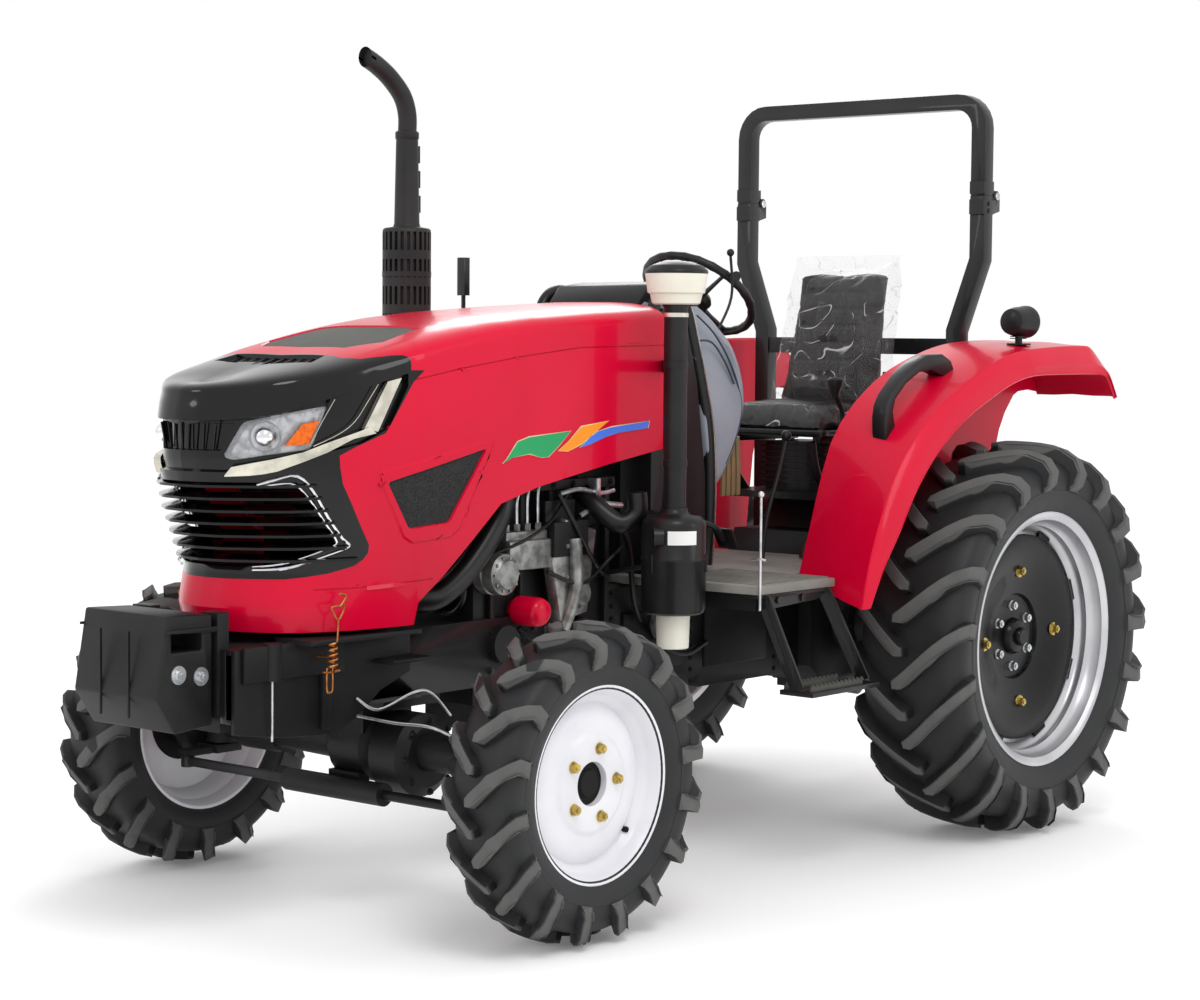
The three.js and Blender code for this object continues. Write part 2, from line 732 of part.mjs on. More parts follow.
add(
  "precleaner",
  turned(
    [
      [BOWL_Z, 0],
      [BOWL_Z, 62],
      [BOWL_Z + 40, 82],
      [BOWL_Z + 92, 86],
      [BOWL_Z + 92, 92],
      [BOWL_Z + 108, 92],
      [BOWL_Z + 126, 60],
      [BOWL_Z + 126, 0],
    ],
    0,
    0,
  )
    .rotate([0, -90, 0])
    .translate([INTAKE.x, INTAKE.y, 0]),
  CREAM,
);

// ---- Exhaust on the right: elbow from the engine, silencer and curved tail pipe ----
const STACK = { x: -432, y: -1516, low: 1130, high: 1897, radius: 73 };
add(
  "exhaust",
  join(
    upright(STACK, STACK.low, STACK.high, STACK.radius, STACK.radius, ROUND),
    upright(STACK, STACK.high - 1, 2180, 38, 29),
    swept(
      [
        [STACK.x, STACK.y, 2170],
        [STACK.x, STACK.y, 2235],
        [STACK.x, STACK.y - 30, 2305],
        [STACK.x, STACK.y - 95, 2355],
        [STACK.x, STACK.y - 190, 2400],
      ],
      disc(25),
      12,
    ),
    swept(
      [
        [STACK.x, STACK.y, STACK.low + 10],
        [STACK.x, STACK.y, STACK.low - 50],
        [STACK.x + 40, STACK.y, STACK.low - 90],
        [STACK.x + 110, STACK.y, STACK.low - 80],
        [-ENGINE.half + 50 - SEAT_GAP - 20, STACK.y, STACK.low - 20],
      ],
      disc(30),
      12,
    ),
    block(-200, -ENGINE.half + 50 - SEAT_GAP, -1700, -1400, 1040, 1130),
  ).subtract(block(-ENGINE.half + 50 - SEAT_GAP, 0, -1800, -1300, 1000, 1200)),
  CAST_BLACK,
);

// ---- Hood: one shell from three crossed outlines, cut into its panels ----
const hoodSide = [
  [HOOD_REAR, 1245],
  [-1640, 1172],
  [nose(900), 1118],
  [nose(780), 1010],
  [nose(575), 862],
  [nose(562), 800],
  [nose(90), HOOD_LOW],
  [nose(75), 868],
  [nose(100), 960],
  [nose(30), 1130],
  [nose(0), 1270],
  [nose(25), 1400],
  [nose(90), 1510],
  [nose(230), 1575],
  [nose(590), 1622],
  [-1700, 1662],
  [HOOD_REAR, 1678],
];
const hoodSection = [
  [-HOOD_HALF, 700],
  [HOOD_HALF, 700],
  [HOOD_HALF, 1490],
  [HOOD_HALF - 22, 1570],
  [HOOD_HALF - 80, 1640],
  [110, 1672],
  [0, 1680],
  [-110, 1672],
  [-HOOD_HALF + 80, 1640],
  [-HOOD_HALF + 22, 1570],
  [-HOOD_HALF, 1490],
];
const hoodPlan = [
  [-HOOD_HALF, HOOD_REAR],
  [-HOOD_HALF, nose(590)],
  [-HOOD_HALF + 30, nose(310)],
  [-HOOD_HALF + 83, nose(150)],
  [-120, nose(35)],
  [0, nose(0)],
  [120, nose(35)],
  [HOOD_HALF - 83, nose(150)],
  [HOOD_HALF - 30, nose(310)],
  [HOOD_HALF, nose(590)],
  [HOOD_HALF, HOOD_REAR],
];
// Each outline drawn in by the wall gives the hollow; the rear and underside stay open.
const shrink = (v, amount) => v - Math.sign(v) * amount;
const hollowSide = hoodSide.map(([y, z]) => [
  y < nose(290) ? y + HOOD_WALL : y + (y === HOOD_REAR ? 50 : 0),
  z > 1300 ? z - HOOD_WALL : z - (y < nose(490) ? 60 : 400),
]);
const hollowSection = hoodSection.map(([x, z]) => [
  shrink(x, HOOD_WALL),
  z > 1300 ? z - HOOD_WALL : z - 100,
]);
const hollowPlan = hoodPlan.map(([x, y]) => [
  shrink(x, HOOD_WALL),
  y === HOOD_REAR ? y + 50 : y + HOOD_WALL * 0.8,
]);
const FAR = nose(-400); // a y well in front of the nose, for cutting blocks
const hoodBody = sidePlate(hoodSide, -400, 400)
  .intersect(crossPlate(hoodSection, FAR, -1000))
  .intersect(levelPlate(hoodPlan.slice().reverse(), 600, 1800));
const hoodHollow = sidePlate(hollowSide, -400, 400)
  .intersect(crossPlate(hollowSection, FAR, -1000))
  .intersect(levelPlate(hollowPlan.slice().reverse(), 500, 1800));
const hingeLug = sidePlate(
  [
    [HOOD_HINGE.y - 14, HOOD_HINGE.z - 12],
    [HOOD_HINGE.y + 14, HOOD_HINGE.z - 12],
    [HOOD_HINGE.y + 14, 1665],
    [HOOD_HINGE.y - 14, 1665],
  ],
  60,
  68,
).add(
  rod(
    [61, HOOD_HINGE.y, HOOD_HINGE.z],
    [90, HOOD_HINGE.y, HOOD_HINGE.z],
    HINGE_PIN,
    HINGE_PIN,
    12,
  ),
);
const hoodShell = hoodBody.subtract(hoodHollow);
const MASK_LOW = 1200;
const GRILLE_LOW = 925;
const maskRegion = sidePlate(
  [
    [FAR, MASK_LOW],
    [nose(290), MASK_LOW],
    [nose(390), 1330],
    [nose(565), 1450],
    [nose(460), 1560],
    [nose(370), 1800],
    [FAR, 1800],
  ],
  -400,
  400,
);
const grilleRegion = sidePlate(
  [
    [FAR, GRILLE_LOW],
    [nose(230), GRILLE_LOW],
    [nose(407), 1010],
    [nose(350), MASK_LOW + 0.01],
    [FAR, MASK_LOW + 0.01],
  ],
  -400,
  400,
);
add(
  "hood_shell",
  join(
    hoodShell.subtract(maskRegion).subtract(grilleRegion),
    hingeLug,
    mirrored(hingeLug),
  ),
  RED,
);
const lampWindow = (gap) =>
  block(104 + gap, 300 - gap, FAR, nose(290), 1262 + gap, 1372 - gap);
const mask = hoodShell
  .intersect(maskRegion.translate([0, -SEAT_GAP, SEAT_GAP]))
  .subtract(grilleRegion);
const lamp = mask.intersect(lampWindow(SEAT_GAP));
add(
  "nose_mask",
  mask.subtract(lampWindow(0)).subtract(mirrored(lampWindow(0))),
  GLOSS_BLACK,
);
addPair("headlamp", lamp, CLEAR_LENS);
const LOUVRES = 6;
let grille = hoodShell.intersect(grilleRegion.translate([0, -SEAT_GAP, 0]))
  .subtract(block(-400, 400, FAR, nose(790), MASK_LOW - SEAT_GAP, 1300))
  .subtract(block(-400, 400, FAR, nose(790), 800, GRILLE_LOW + SEAT_GAP));
for (let i = 0; i < LOUVRES; i += 1) {
  const z = GRILLE_LOW + 25 + i * 40;
  grille = grille.subtract(block(-190, 190, FAR, nose(290), z, z + 18));
}
add("grille", grille, GLOSS_BLACK);

// ---- Operator's place ----
const consoleSide = [
  [CONSOLE.front, FLOOR_Z + SEAT_GAP],
  [-820, FLOOR_Z + SEAT_GAP],
  [-760, 1000],
  [-690, 1180],
  [CONSOLE.rear, 1350],
  [CONSOLE.rear + 5, 1480],
  [-700, 1590],
  [-860, 1680],
  [-1010, 1735],
  [-1110, 1720],
  [-1150, 1660],
  [-1150, 1600],
  [CONSOLE.front, 1585],
];
const consoleSection = [
  [-150, 850],
  [150, 850],
  [CONSOLE.half, 1050],
  [CONSOLE.half, 1560],
  [190, 1660],
  [150, 1750],
  [-150, 1750],
  [-190, 1660],
  [-CONSOLE.half, 1560],
  [-CONSOLE.half, 1050],
];
const consoleLug = sidePlate(
  [
    [HOOD_HINGE.y - 12, HOOD_HINGE.z - 85],
    [CONSOLE.front + 5, HOOD_HINGE.z - 85],
    [CONSOLE.front + 5, HOOD_HINGE.z - 60],
    [HOOD_HINGE.y + 12, HOOD_HINGE.z - 58],
    [HOOD_HINGE.y + 11, HOOD_HINGE.z + 3],
    [HOOD_HINGE.y + 6, HOOD_HINGE.z + 9],
    [HOOD_HINGE.y - 6, HOOD_HINGE.z + 9],
    [HOOD_HINGE.y - 11, HOOD_HINGE.z + 3],
  ],
  74,
  86,
).subtract(
  bore([70, HOOD_HINGE.y, HOOD_HINGE.z], [90, HOOD_HINGE.y, HOOD_HINGE.z], HINGE_PIN, 12),
);
const WHEEL_TILT = THREE.MathUtils.degToRad(40);
const WHEEL_CENTRE = [0, -624, 1712];
const along = (distance) => [
  0,
  WHEEL_CENTRE[1] + distance * Math.sin(WHEEL_TILT),
  WHEEL_CENTRE[2] + distance * Math.cos(WHEEL_TILT),
];
const COLUMN_TOP = -40;
const WHEEL_SHAFT = 14;
add(
  "console",
  join(
    sidePlate(consoleSide, -400, 400).intersect(crossPlate(consoleSection, -1300, -500)),
    consoleLug,
    mirrored(consoleLug),
    rod(along(-300), along(COLUMN_TOP), 34, 28),
  ).subtract(bore(along(-110), along(COLUMN_TOP + 5), WHEEL_SHAFT)),
  GREY_PLASTIC,
);
const RIM_OF_WHEEL = { radius: 184, grip: 14 };
function wheelRing() {
  const geometry = new THREE.TorusGeometry(RIM_OF_WHEEL.radius, RIM_OF_WHEEL.grip, 8, 28);
  geometry.rotateX(-WHEEL_TILT);
  geometry.translate(...WHEEL_CENTRE);
  return solid(geometry);
}
function wheelSpoke(angle) {
  const end = new THREE.Vector3(Math.cos(angle), Math.sin(angle), 0)
    .multiplyScalar(RIM_OF_WHEEL.radius)
    .applyAxisAngle(new THREE.Vector3(1, 0, 0), -WHEEL_TILT)
    .add(new THREE.Vector3(...WHEEL_CENTRE));
  return rod(along(-12), end.toArray(), 10, 8, 8);
}
add(
  "steering_wheel",
  join(
    wheelRing(),
    wheelSpoke(Math.PI / 2),
    wheelSpoke(Math.PI * 1.17),
    wheelSpoke(Math.PI * 1.83),
    rod(along(-32), along(10), 34, 30, SMALL_ROUND),
    rod(along(-100), along(-30), WHEEL_SHAFT),
  ),
  SATIN_BLACK,
);

// A [y, z] point at so many degrees round the rear axle and so far beyond the tyre's tread.
function overTyre([degrees, reach]) {
  const angle = THREE.MathUtils.degToRad(degrees);
  const radius = REAR.tyre + reach;
  return [radius * Math.cos(angle), REAR_AXLE_Z + radius * Math.sin(angle)];
}
const FENDER_DROP = 58; // floor to the fender's lower front corner
const fenderTop = FENDER_TOP.map(overTyre);
fenderTop[0][1] = FLOOR_Z - FENDER_DROP;
const fenderHigh = Math.max(...fenderTop.map(([, z]) => z));
const floorRear = fenderTop[0][0] - SEAT_GAP; // the platform ends where the fenders begin
const floorOutline = [
  [-FLOOR_OUT, FLOOR_FRONT],
  [FLOOR_OUT, FLOOR_FRONT],
  [FLOOR_OUT, floorRear],
  [FENDER.inner - SEAT_GAP, floorRear],
  [FENDER.inner - SEAT_GAP, GEARBOX.rear - 10],
  [-FENDER.inner + SEAT_GAP, GEARBOX.rear - 10],
  [-FENDER.inner + SEAT_GAP, floorRear],
  [-FLOOR_OUT, floorRear],
];
const floorLow = FLOOR_Z - FLOOR_THICK;
add("floor", levelPlate(floorOutline, floorLow, FLOOR_Z), DARK_MAT);

// A straight bar of rectangular section between two points.
function bar(from, to, wide, deep) {
  const section = new THREE.Shape([
    new THREE.Vector2(-wide / 2, -deep / 2),
    new THREE.Vector2(wide / 2, -deep / 2),
    new THREE.Vector2(wide / 2, deep / 2),
    new THREE.Vector2(-wide / 2, deep / 2),
  ]);
  const path = new THREE.LineCurve3(new THREE.Vector3(...from), new THREE.Vector3(...to));
  return solid(
    new THREE.ExtrudeGeometry(section, { steps: 1, bevelEnabled: false, extrudePath: path }),
  );
}
const STEP = {
  front: FLOOR_FRONT + 50,
  rear: floorRear - 45,
  top: 660,
  outer: 790,
  z: 560,
  tread: 14,
};
addPair(
  "step",
  join(
    bar([STEP.top, STEP.front - 20, FLOOR_Z], [STEP.outer, STEP.front, STEP.z], 8, 46),
    bar([STEP.top, STEP.rear - 10, FLOOR_Z], [STEP.outer, STEP.rear + 40, STEP.z], 8, 46),
    block(
      STEP.outer - 62,
      STEP.outer + 55,
      STEP.front - 6,
      STEP.rear + 46,
      STEP.z - STEP.tread,
      STEP.z,
    ),
    block(
      STEP.top - 30,
      STEP.top + 20,
      STEP.front - 50,
      STEP.rear + 20,
      floorLow - 10,
      floorLow - SEAT_GAP,
    ),
  ).subtract(block(0, 900, -1400, -500, floorLow - SEAT_GAP, 1000)),
  SATIN_BLACK,
);

// Fenders: a curved strip over the tyre, an inner wall and an outer lip, pressed as one.
function offsetLine(points, distance) {
  return points.map(([y, z], i) => {
    const before = points[Math.max(i - 1, 0)];
    const after = points[Math.min(i + 1, points.length - 1)];
    const run = Math.hypot(after[0] - before[0], after[1] - before[1]);
    return [
      y + (distance * (after[1] - before[1])) / run,
      z - (distance * (after[0] - before[0])) / run,
    ];
  });
}
const fenderUnder = offsetLine(fenderTop, FENDER.wall);
const lipUnder = offsetLine(fenderTop, FENDER.lip);
const closeLine = (upper, lower) => [...upper, ...lower.slice().reverse()];
const fender = join(
  sidePlate(closeLine(fenderTop, fenderUnder), FENDER.inner, FENDER.outer),
  sidePlate(closeLine(fenderTop, lipUnder), FENDER.outer - FENDER.wall, FENDER.outer),
  sidePlate(
    [...fenderTop, ...FENDER_WALL.map(overTyre)],
    FENDER.inner,
    FENDER.inner + FENDER.wall,
  ),
);
addPair("fender", fender, RED);
const handleX = (FENDER.inner + FENDER.outer) / 2 + 30;
const HANDLE_LINE = [
  [139.0, 224],
  [140.4, 304],
  [135.6, 342],
  [126.3, 364],
  [117.2, 361],
  [111.1, 336],
  [113.0, 219],
];
const UNDER_FENDER = [
  [fenderTop[fenderTop.length - 1][0], 700],
  [fenderTop[0][0] + 115, 700],
];
addPair(
  "grab_handle",
  swept(
    HANDLE_LINE.map((point) => [handleX, ...overTyre(point)]),
    disc(13, 8),
    24,
  ).subtract(sidePlate([...offsetLine(fenderTop, -SEAT_GAP), ...UNDER_FENDER], 400, 900)),
  SATIN_BLACK,
);

// Seat: a pan on a pedestal over the lift case, and two cushions.
const seatTop = ROCKSHAFT.z + 55;
add(
  "seat_base",
  join(
    block(-205, 205, SEAT_Y - 220, SEAT_Y + 215, SEAT_Z - 60, SEAT_Z - 40),
    block(-95, 95, SEAT_Y, SEAT_Y + 150, seatTop + SEAT_GAP, SEAT_Z - 59),
    block(-120, 120, SEAT_Y + 195, SEAT_Y + 215, SEAT_Z - 59, SEAT_Z + 120),
  ),
  SATIN_BLACK,
);
add(
  "seat_cushion",
  block(-225, 225, SEAT_Y - 235, SEAT_Y + 190, SEAT_Z - 40 + SEAT_GAP, SEAT_Z + 55),
  VINYL,
);
add(
  "seat_back",
  sidePlate(
    [
      [SEAT_Y + 105, SEAT_Z + 60],
      [SEAT_Y + 190, SEAT_Z + 60],
      [SEAT_Y + 195 - SEAT_GAP, SEAT_Z + 121],
      [SEAT_Y + 250, SEAT_Z + 520],
      [SEAT_Y + 175, SEAT_Z + 525],
    ],
    -212,
    212,
  ),
  VINYL,
);
add(
  "gear_lever",
  join(
    rod([250, -330, FLOOR_Z + SEAT_GAP], [250, -330, FLOOR_Z + 30], 34),
    rod([250, -330, FLOOR_Z + 20], [262, -215, 1405], 9, 7, 8),
    rod([262, -217, 1395], [264, -208, 1440], 20, 22, 12),
  ),
  SATIN_BLACK,
);
add(
  "mirror",
  join(
    block(-CONSOLE.half - 8, -CONSOLE.half - SEAT_GAP, -1140, -1100, 1450, 1490),
    rod([-CONSOLE.half - 4, -1120, 1470], [-540, -1150, 1560], 8, 8, 8),
    rod([-540, -1150, 1555], [-540, -1150, 1720], 7, 7, 8),
    block(-556, -524, -1162, -1138, 1700, 1820),
  ),
  SATIN_BLACK,
);

// Roll bar: a welded lower frame with lugs, and a hoop that folds back on two pins.
const barFront = BAR_Y - BAR_DEEP / 2;
const barRear = BAR_Y + BAR_DEEP / 2;
const BAR_PIN = { y: barRear + 25, z: BAR_HINGE_Z, radius: 8, half: 29 };
const lugMiddle = BAR_HALF - BAR_WIDE / 2;
const pinBore = bore(
  [lugMiddle - 40, BAR_PIN.y, BAR_PIN.z],
  [lugMiddle + 40, BAR_PIN.y, BAR_PIN.z],
  BAR_PIN.radius,
);
const lugPlate = [
  [barRear - 1, BAR_HINGE_Z - 62],
  [barRear + 46, BAR_HINGE_Z - 50],
  [barRear + 46, BAR_HINGE_Z],
  [barRear + 39, BAR_HINGE_Z + 14],
  [barRear + 31, BAR_HINGE_Z + 18],
  [barRear + 19, BAR_HINGE_Z + 18],
  [barRear + 11, BAR_HINGE_Z + 12],
  [barRear + 7, BAR_HINGE_Z - 7],
  [barRear - 1, BAR_HINGE_Z - 7],
];
const barSeat = REAR_AXLE_Z + BAR_SEAT;
const postBend = fenderHigh + 23; // the posts stand upright until they clear the fenders
const leanTop = Math.min(postBend + BAR_LEAN, BAR_HINGE_Z - BAR_STUB);
const crossTop = fenderHigh + 3;
const post = join(
  crossPlate(
    [
      [BAR_FOOT_X - BAR_WIDE / 2, barSeat],
      [BAR_FOOT_X + BAR_WIDE / 2, barSeat],
      [BAR_FOOT_X + BAR_WIDE / 2, postBend],
      [BAR_HALF, leanTop],
      [BAR_HALF, BAR_HINGE_Z - SEAT_GAP],
      [BAR_HALF - BAR_WIDE, BAR_HINGE_Z - SEAT_GAP],
      [BAR_HALF - BAR_WIDE, leanTop + 10],
      [BAR_FOOT_X - BAR_WIDE / 2, postBend + 10],
    ],
    barFront,
    barRear,
  ),
  block(
    BAR_FOOT_X - BAR_WIDE / 2,
    BAR_FOOT_X + BAR_WIDE / 2,
    -70,
    barFront + 1,
    barSeat,
    barSeat + BAR_FOOT_THICK,
  ),
  sidePlate(lugPlate, lugMiddle - 27, lugMiddle - 17).subtract(pinBore),
  sidePlate(lugPlate, lugMiddle + 17, lugMiddle + 27).subtract(pinBore),
);
add(
  "roll_bar_base",
  join(
    post,
    mirrored(post),
    block(-BAR_FOOT_X, BAR_FOOT_X, barFront + 8, barRear - 8, crossTop - 55, crossTop),
  ),
  SATIN_BLACK,
);

// The outline of a round-cornered arch, as [x, z] points from its right foot to its left foot.
function arch(half, low, high, radius) {
  const corner = [];
  for (let i = 0; i <= 6; i += 1) {
    const angle = (i * Math.PI) / 12;
    corner.push([
      half - radius + radius * Math.cos(angle),
      high - radius + radius * Math.sin(angle),
    ]);
  }
  const right = [[half, low], ...corner];
  return [...right, ...flip(right)];
}
const hoopLug = join(
  rod([lugMiddle - 11.5, BAR_PIN.y, BAR_PIN.z], [lugMiddle + 11.5, BAR_PIN.y, BAR_PIN.z], 18),
  block(
    lugMiddle - 11.5,
    lugMiddle + 11.5,
    barRear - 1,
    BAR_PIN.y + 10,
    BAR_HINGE_Z + 6,
    BAR_HINGE_Z + 50,
  ),
  rod(
    [lugMiddle - BAR_PIN.half, BAR_PIN.y, BAR_PIN.z],
    [lugMiddle + BAR_PIN.half, BAR_PIN.y, BAR_PIN.z],
    BAR_PIN.radius,
  ),
);
add(
  "roll_bar_hoop",
  join(
    crossPlate(arch(BAR_HALF, BAR_HINGE_Z, BAR_TOP, 115), barFront, barRear).subtract(
      crossPlate(
        arch(BAR_HALF - BAR_WIDE, BAR_HINGE_Z - 10, BAR_TOP - BAR_DEEP, 62),
        barFront - 1,
        barRear + 1,
      ),
    ),
    hoopLug,
    mirrored(hoopLug),
  ),
  SATIN_BLACK,
);

// ---- Rear linkage ----
const hang = (pivot, distance) => [
  pivot.y + distance * Math.cos(LINK_DROP),
  pivot.z - distance * Math.sin(LINK_DROP),
];
const across = (x, [y, z]) => [x, y, z];
// A flat link with round eyes between two points of the side view.
function link(from, to, x0, x1, radius) {
  return join(
    rod(across(x0, from), across(x1, from), radius),
    rod(across(x0, to), across(x1, to), radius),
    bar(across((x0 + x1) / 2, from), across((x0 + x1) / 2, to), x1 - x0, radius * 1.5),
  );
}
const armEnd = hang(ROCKSHAFT, LIFT_ARM);
const linkEye = hang(LINK_PIVOT, LIFT_ARM);
const linkEnd = hang(LINK_PIVOT, LINK_LENGTH);
const PIN = 11;
const liftArm = join(
  link([ROCKSHAFT.y, ROCKSHAFT.z], armEnd, ARM_X - 12, ARM_X + 12, 30),
  rod(across(ARM_X, armEnd), across(ROD_X + 16, armEnd), PIN),
);
add(
  "lift_arms",
  join(
    liftArm,
    mirrored(liftArm),
    rod(
      [-ARM_X, ROCKSHAFT.y, ROCKSHAFT.z],
      [ARM_X, ROCKSHAFT.y, ROCKSHAFT.z],
      ROCKSHAFT.radius,
      ROCKSHAFT.radius,
      ROUND,
    ),
  ),
  CAST_BLACK,
);
const rodEye = (end) => bore(across(ROD_X - 15, end), across(ROD_X + 15, end), PIN);
addPair(
  "lift_rod",
  join(
    rod(across(ROD_X, armEnd), across(ROD_X, linkEye), 13),
    rod(across(ROD_X - 8, armEnd), across(ROD_X + 8, armEnd), 24),
    rod(across(ROD_X - 8, linkEye), across(ROD_X + 8, linkEye), 24),
  )
    .subtract(rodEye(armEnd))
    .subtract(rodEye(linkEye)),
  SILVER_STEEL,
);
addPair(
  "lower_link",
  join(
    link([LINK_PIVOT.y, LINK_PIVOT.z], linkEnd, LINK_X - 10, LINK_X + 10, 30),
    rod(across(LINK_X - 20, linkEnd), across(LINK_X + 20, linkEnd), 36),
    rod(across(ROD_X - 16, linkEye), across(LINK_X, linkEye), PIN),
  ).subtract(
    bore(
      [LINK_X - 30, LINK_PIVOT.y, LINK_PIVOT.z],
      [LINK_X + 30, LINK_PIVOT.y, LINK_PIVOT.z],
      LINK_PIN,
    ),
  ),
  CAST_BLACK,
);

// The tractor's middle stands over the origin.
const bounds = new THREE.Box3().setFromObject(tractor);
tractor.position.y = -(bounds.min.y + bounds.max.y) / 2;

export default tractor;
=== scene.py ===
# A compact farm tractor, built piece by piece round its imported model.
# Metres; +Z is up, the tractor faces -Y and its own left side is +X.
import json
import math

import bmesh
import bpy
from mathutils import Matrix, Vector

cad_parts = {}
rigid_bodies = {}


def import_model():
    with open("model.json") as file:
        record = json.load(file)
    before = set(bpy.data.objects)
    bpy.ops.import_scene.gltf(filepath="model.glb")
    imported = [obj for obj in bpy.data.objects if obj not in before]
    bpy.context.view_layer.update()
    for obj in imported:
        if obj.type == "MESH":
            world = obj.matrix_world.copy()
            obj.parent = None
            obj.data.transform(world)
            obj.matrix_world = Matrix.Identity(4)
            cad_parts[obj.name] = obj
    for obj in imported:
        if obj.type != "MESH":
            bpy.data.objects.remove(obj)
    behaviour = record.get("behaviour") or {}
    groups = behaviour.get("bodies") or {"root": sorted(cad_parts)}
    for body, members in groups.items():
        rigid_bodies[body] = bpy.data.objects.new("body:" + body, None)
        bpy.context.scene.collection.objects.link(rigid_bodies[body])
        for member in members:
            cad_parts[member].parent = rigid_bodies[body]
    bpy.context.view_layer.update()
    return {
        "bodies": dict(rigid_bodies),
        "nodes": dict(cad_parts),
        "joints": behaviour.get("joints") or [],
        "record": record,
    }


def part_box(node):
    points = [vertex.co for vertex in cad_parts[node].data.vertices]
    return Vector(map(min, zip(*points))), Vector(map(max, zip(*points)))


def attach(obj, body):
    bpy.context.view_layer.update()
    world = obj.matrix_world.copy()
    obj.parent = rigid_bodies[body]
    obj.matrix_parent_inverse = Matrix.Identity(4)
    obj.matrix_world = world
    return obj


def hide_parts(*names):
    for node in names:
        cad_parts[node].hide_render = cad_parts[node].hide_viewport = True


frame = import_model()

# ---- Studio ----
# A pale floor under a white sky, soft lamps overhead and on both sides, and
# the camera in front of the tractor's left side, a little above the hood.
EYE = Vector((5.0368, -5.9484, 1.5845))
SIGHT = Matrix(
    (
        (0.762977, -0.048708, 0.644588),
        (0.646373, 0.044763, -0.761708),
        (0.008247, 0.997810, 0.065637),
    )
)
lens = bpy.data.cameras.new("studio_camera")
lens.lens = 76.2
lens.sensor_width = 36.0
lens.clip_end = 60.0
camera = bpy.data.objects.new("studio_camera", lens)
camera.matrix_world = Matrix.Translation(EYE) @ SIGHT.to_4x4()
bpy.context.scene.collection.objects.link(camera)
bpy.context.scene.camera = camera


class Value:
    """One number or colour in a finish; sums and products of it add Math nodes."""

    def __init__(self, finish, socket):
        self.finish, self.socket = finish, socket

    def math(self, kind, first, second):
        return self.finish.node("ShaderNodeMath", {"operation": kind}, {0: first, 1: second})

    def __add__(self, other):
        return self.math("ADD", self, other)

    def __sub__(self, other):
        return self.math("SUBTRACT", self, other)

    def __rsub__(self, other):
        return self.math("SUBTRACT", other, self)

    def __mul__(self, other):
        return self.math("MULTIPLY", self, other)

    def __abs__(self):
        return self.math("ABSOLUTE", self, 0)

    __radd__, __rmul__ = __add__, __mul__

    def rise(self, low, high):
        """0 below low, 1 above high, and a smooth step between."""
        return self.finish.node(
            "ShaderNodeMapRange",
            {"interpolation_type": "SMOOTHSTEP"},
            {"Value": self, "From Min": low, "From Max": high},
        )


class Finish:
    """One procedural material. Its patterns follow the object's own coordinates."""

    def __init__(self, name):
        self.material = bpy.data.materials.new(name)
        self.material.use_nodes = True
        self.tree = self.material.node_tree
        self.tree.nodes.clear()
        self.place = self.node("ShaderNodeTexCoord", out="Object")

    def node(self, kind, settings=None, sockets=None, out=0):
        made = self.tree.nodes.new(kind)
        for key, value in (settings or {}).items():
            if key == "stops":
                for i, (position, colour) in enumerate(value):
                    stops = made.color_ramp.elements
                    stop = stops[i] if i < len(stops) else stops.new(position)
                    stop.position, stop.color = position, colour
            else:
                setattr(made, key, value)
        for key, value in (sockets or {}).items():
            if isinstance(value, Value):
                self.tree.links.new(value.socket, made.inputs[key])
            else:
                made.inputs[key].default_value = value
        return Value(self, made.outputs[out])

    def noise(self, scale, detail=3.0, rough=0.5, stretch=(1, 1, 1), place=None):
        """Mottling whose cells are 1 / scale metres across."""
        spot = self.node(
            "ShaderNodeMapping", sockets={"Vector": place or self.place, "Scale": stretch}
        )
        return self.node(
            "ShaderNodeTexNoise",
            sockets={"Vector": spot, "Scale": scale, "Detail": detail, "Roughness": rough},
        )

    def mix(self, share, first, second):
        """A colour between two colours."""
        return self.node(
            "ShaderNodeMix", {"data_type": "RGBA"}, {0: share, 6: first, 7: second}, out=2
        )

    def close(self, height=None, depth=0.001, strength=1.0, **sockets):
        """The shader itself; height is a bump that stands depth metres proud."""
        if height is not None:
            sockets["Normal"] = self.node(
                "ShaderNodeBump",
                sockets={"Height": height, "Distance": depth, "Strength": strength},
            )
        names = {key.replace("_", " "): value for key, value in sockets.items()}
        shader = self.node("ShaderNodeBsdfPrincipled", sockets=names)
        end = self.tree.nodes.new("ShaderNodeOutputMaterial")
        self.tree.links.new(shader.socket, end.inputs["Surface"])
        return self.material


def rgb(red, green, blue):
    """A colour as it looks on paper, as the shader's linear one."""
    linear = [((c + 0.055) / 1.055) ** 2.4 if c > 0.04 else c / 12.92 for c in (red, green, blue)]
    return (*linear, 1)


studio_floor = Finish("studio_floor")
studio_floor.close(
    Base_Color=studio_floor.mix(
        studio_floor.noise(1.7), rgb(0.975, 0.975, 0.975), rgb(0.985, 0.985, 0.985)
    ),
    Roughness=studio_floor.noise(9) * 0.1 + 0.6,
    Emission_Color=(1, 1, 1, 1),
    Emission_Strength=0.10,
)
sweep = bmesh.new()
bmesh.ops.create_grid(sweep, x_segments=1, y_segments=1, size=60)
floor_mesh = bpy.data.meshes.new("studio_floor")
sweep.to_mesh(floor_mesh)
sweep.free()
floor_mesh.materials.append(studio_floor.material)
studio = bpy.data.objects.new("studio_floor", floor_mesh)
bpy.context.scene.collection.objects.link(studio)

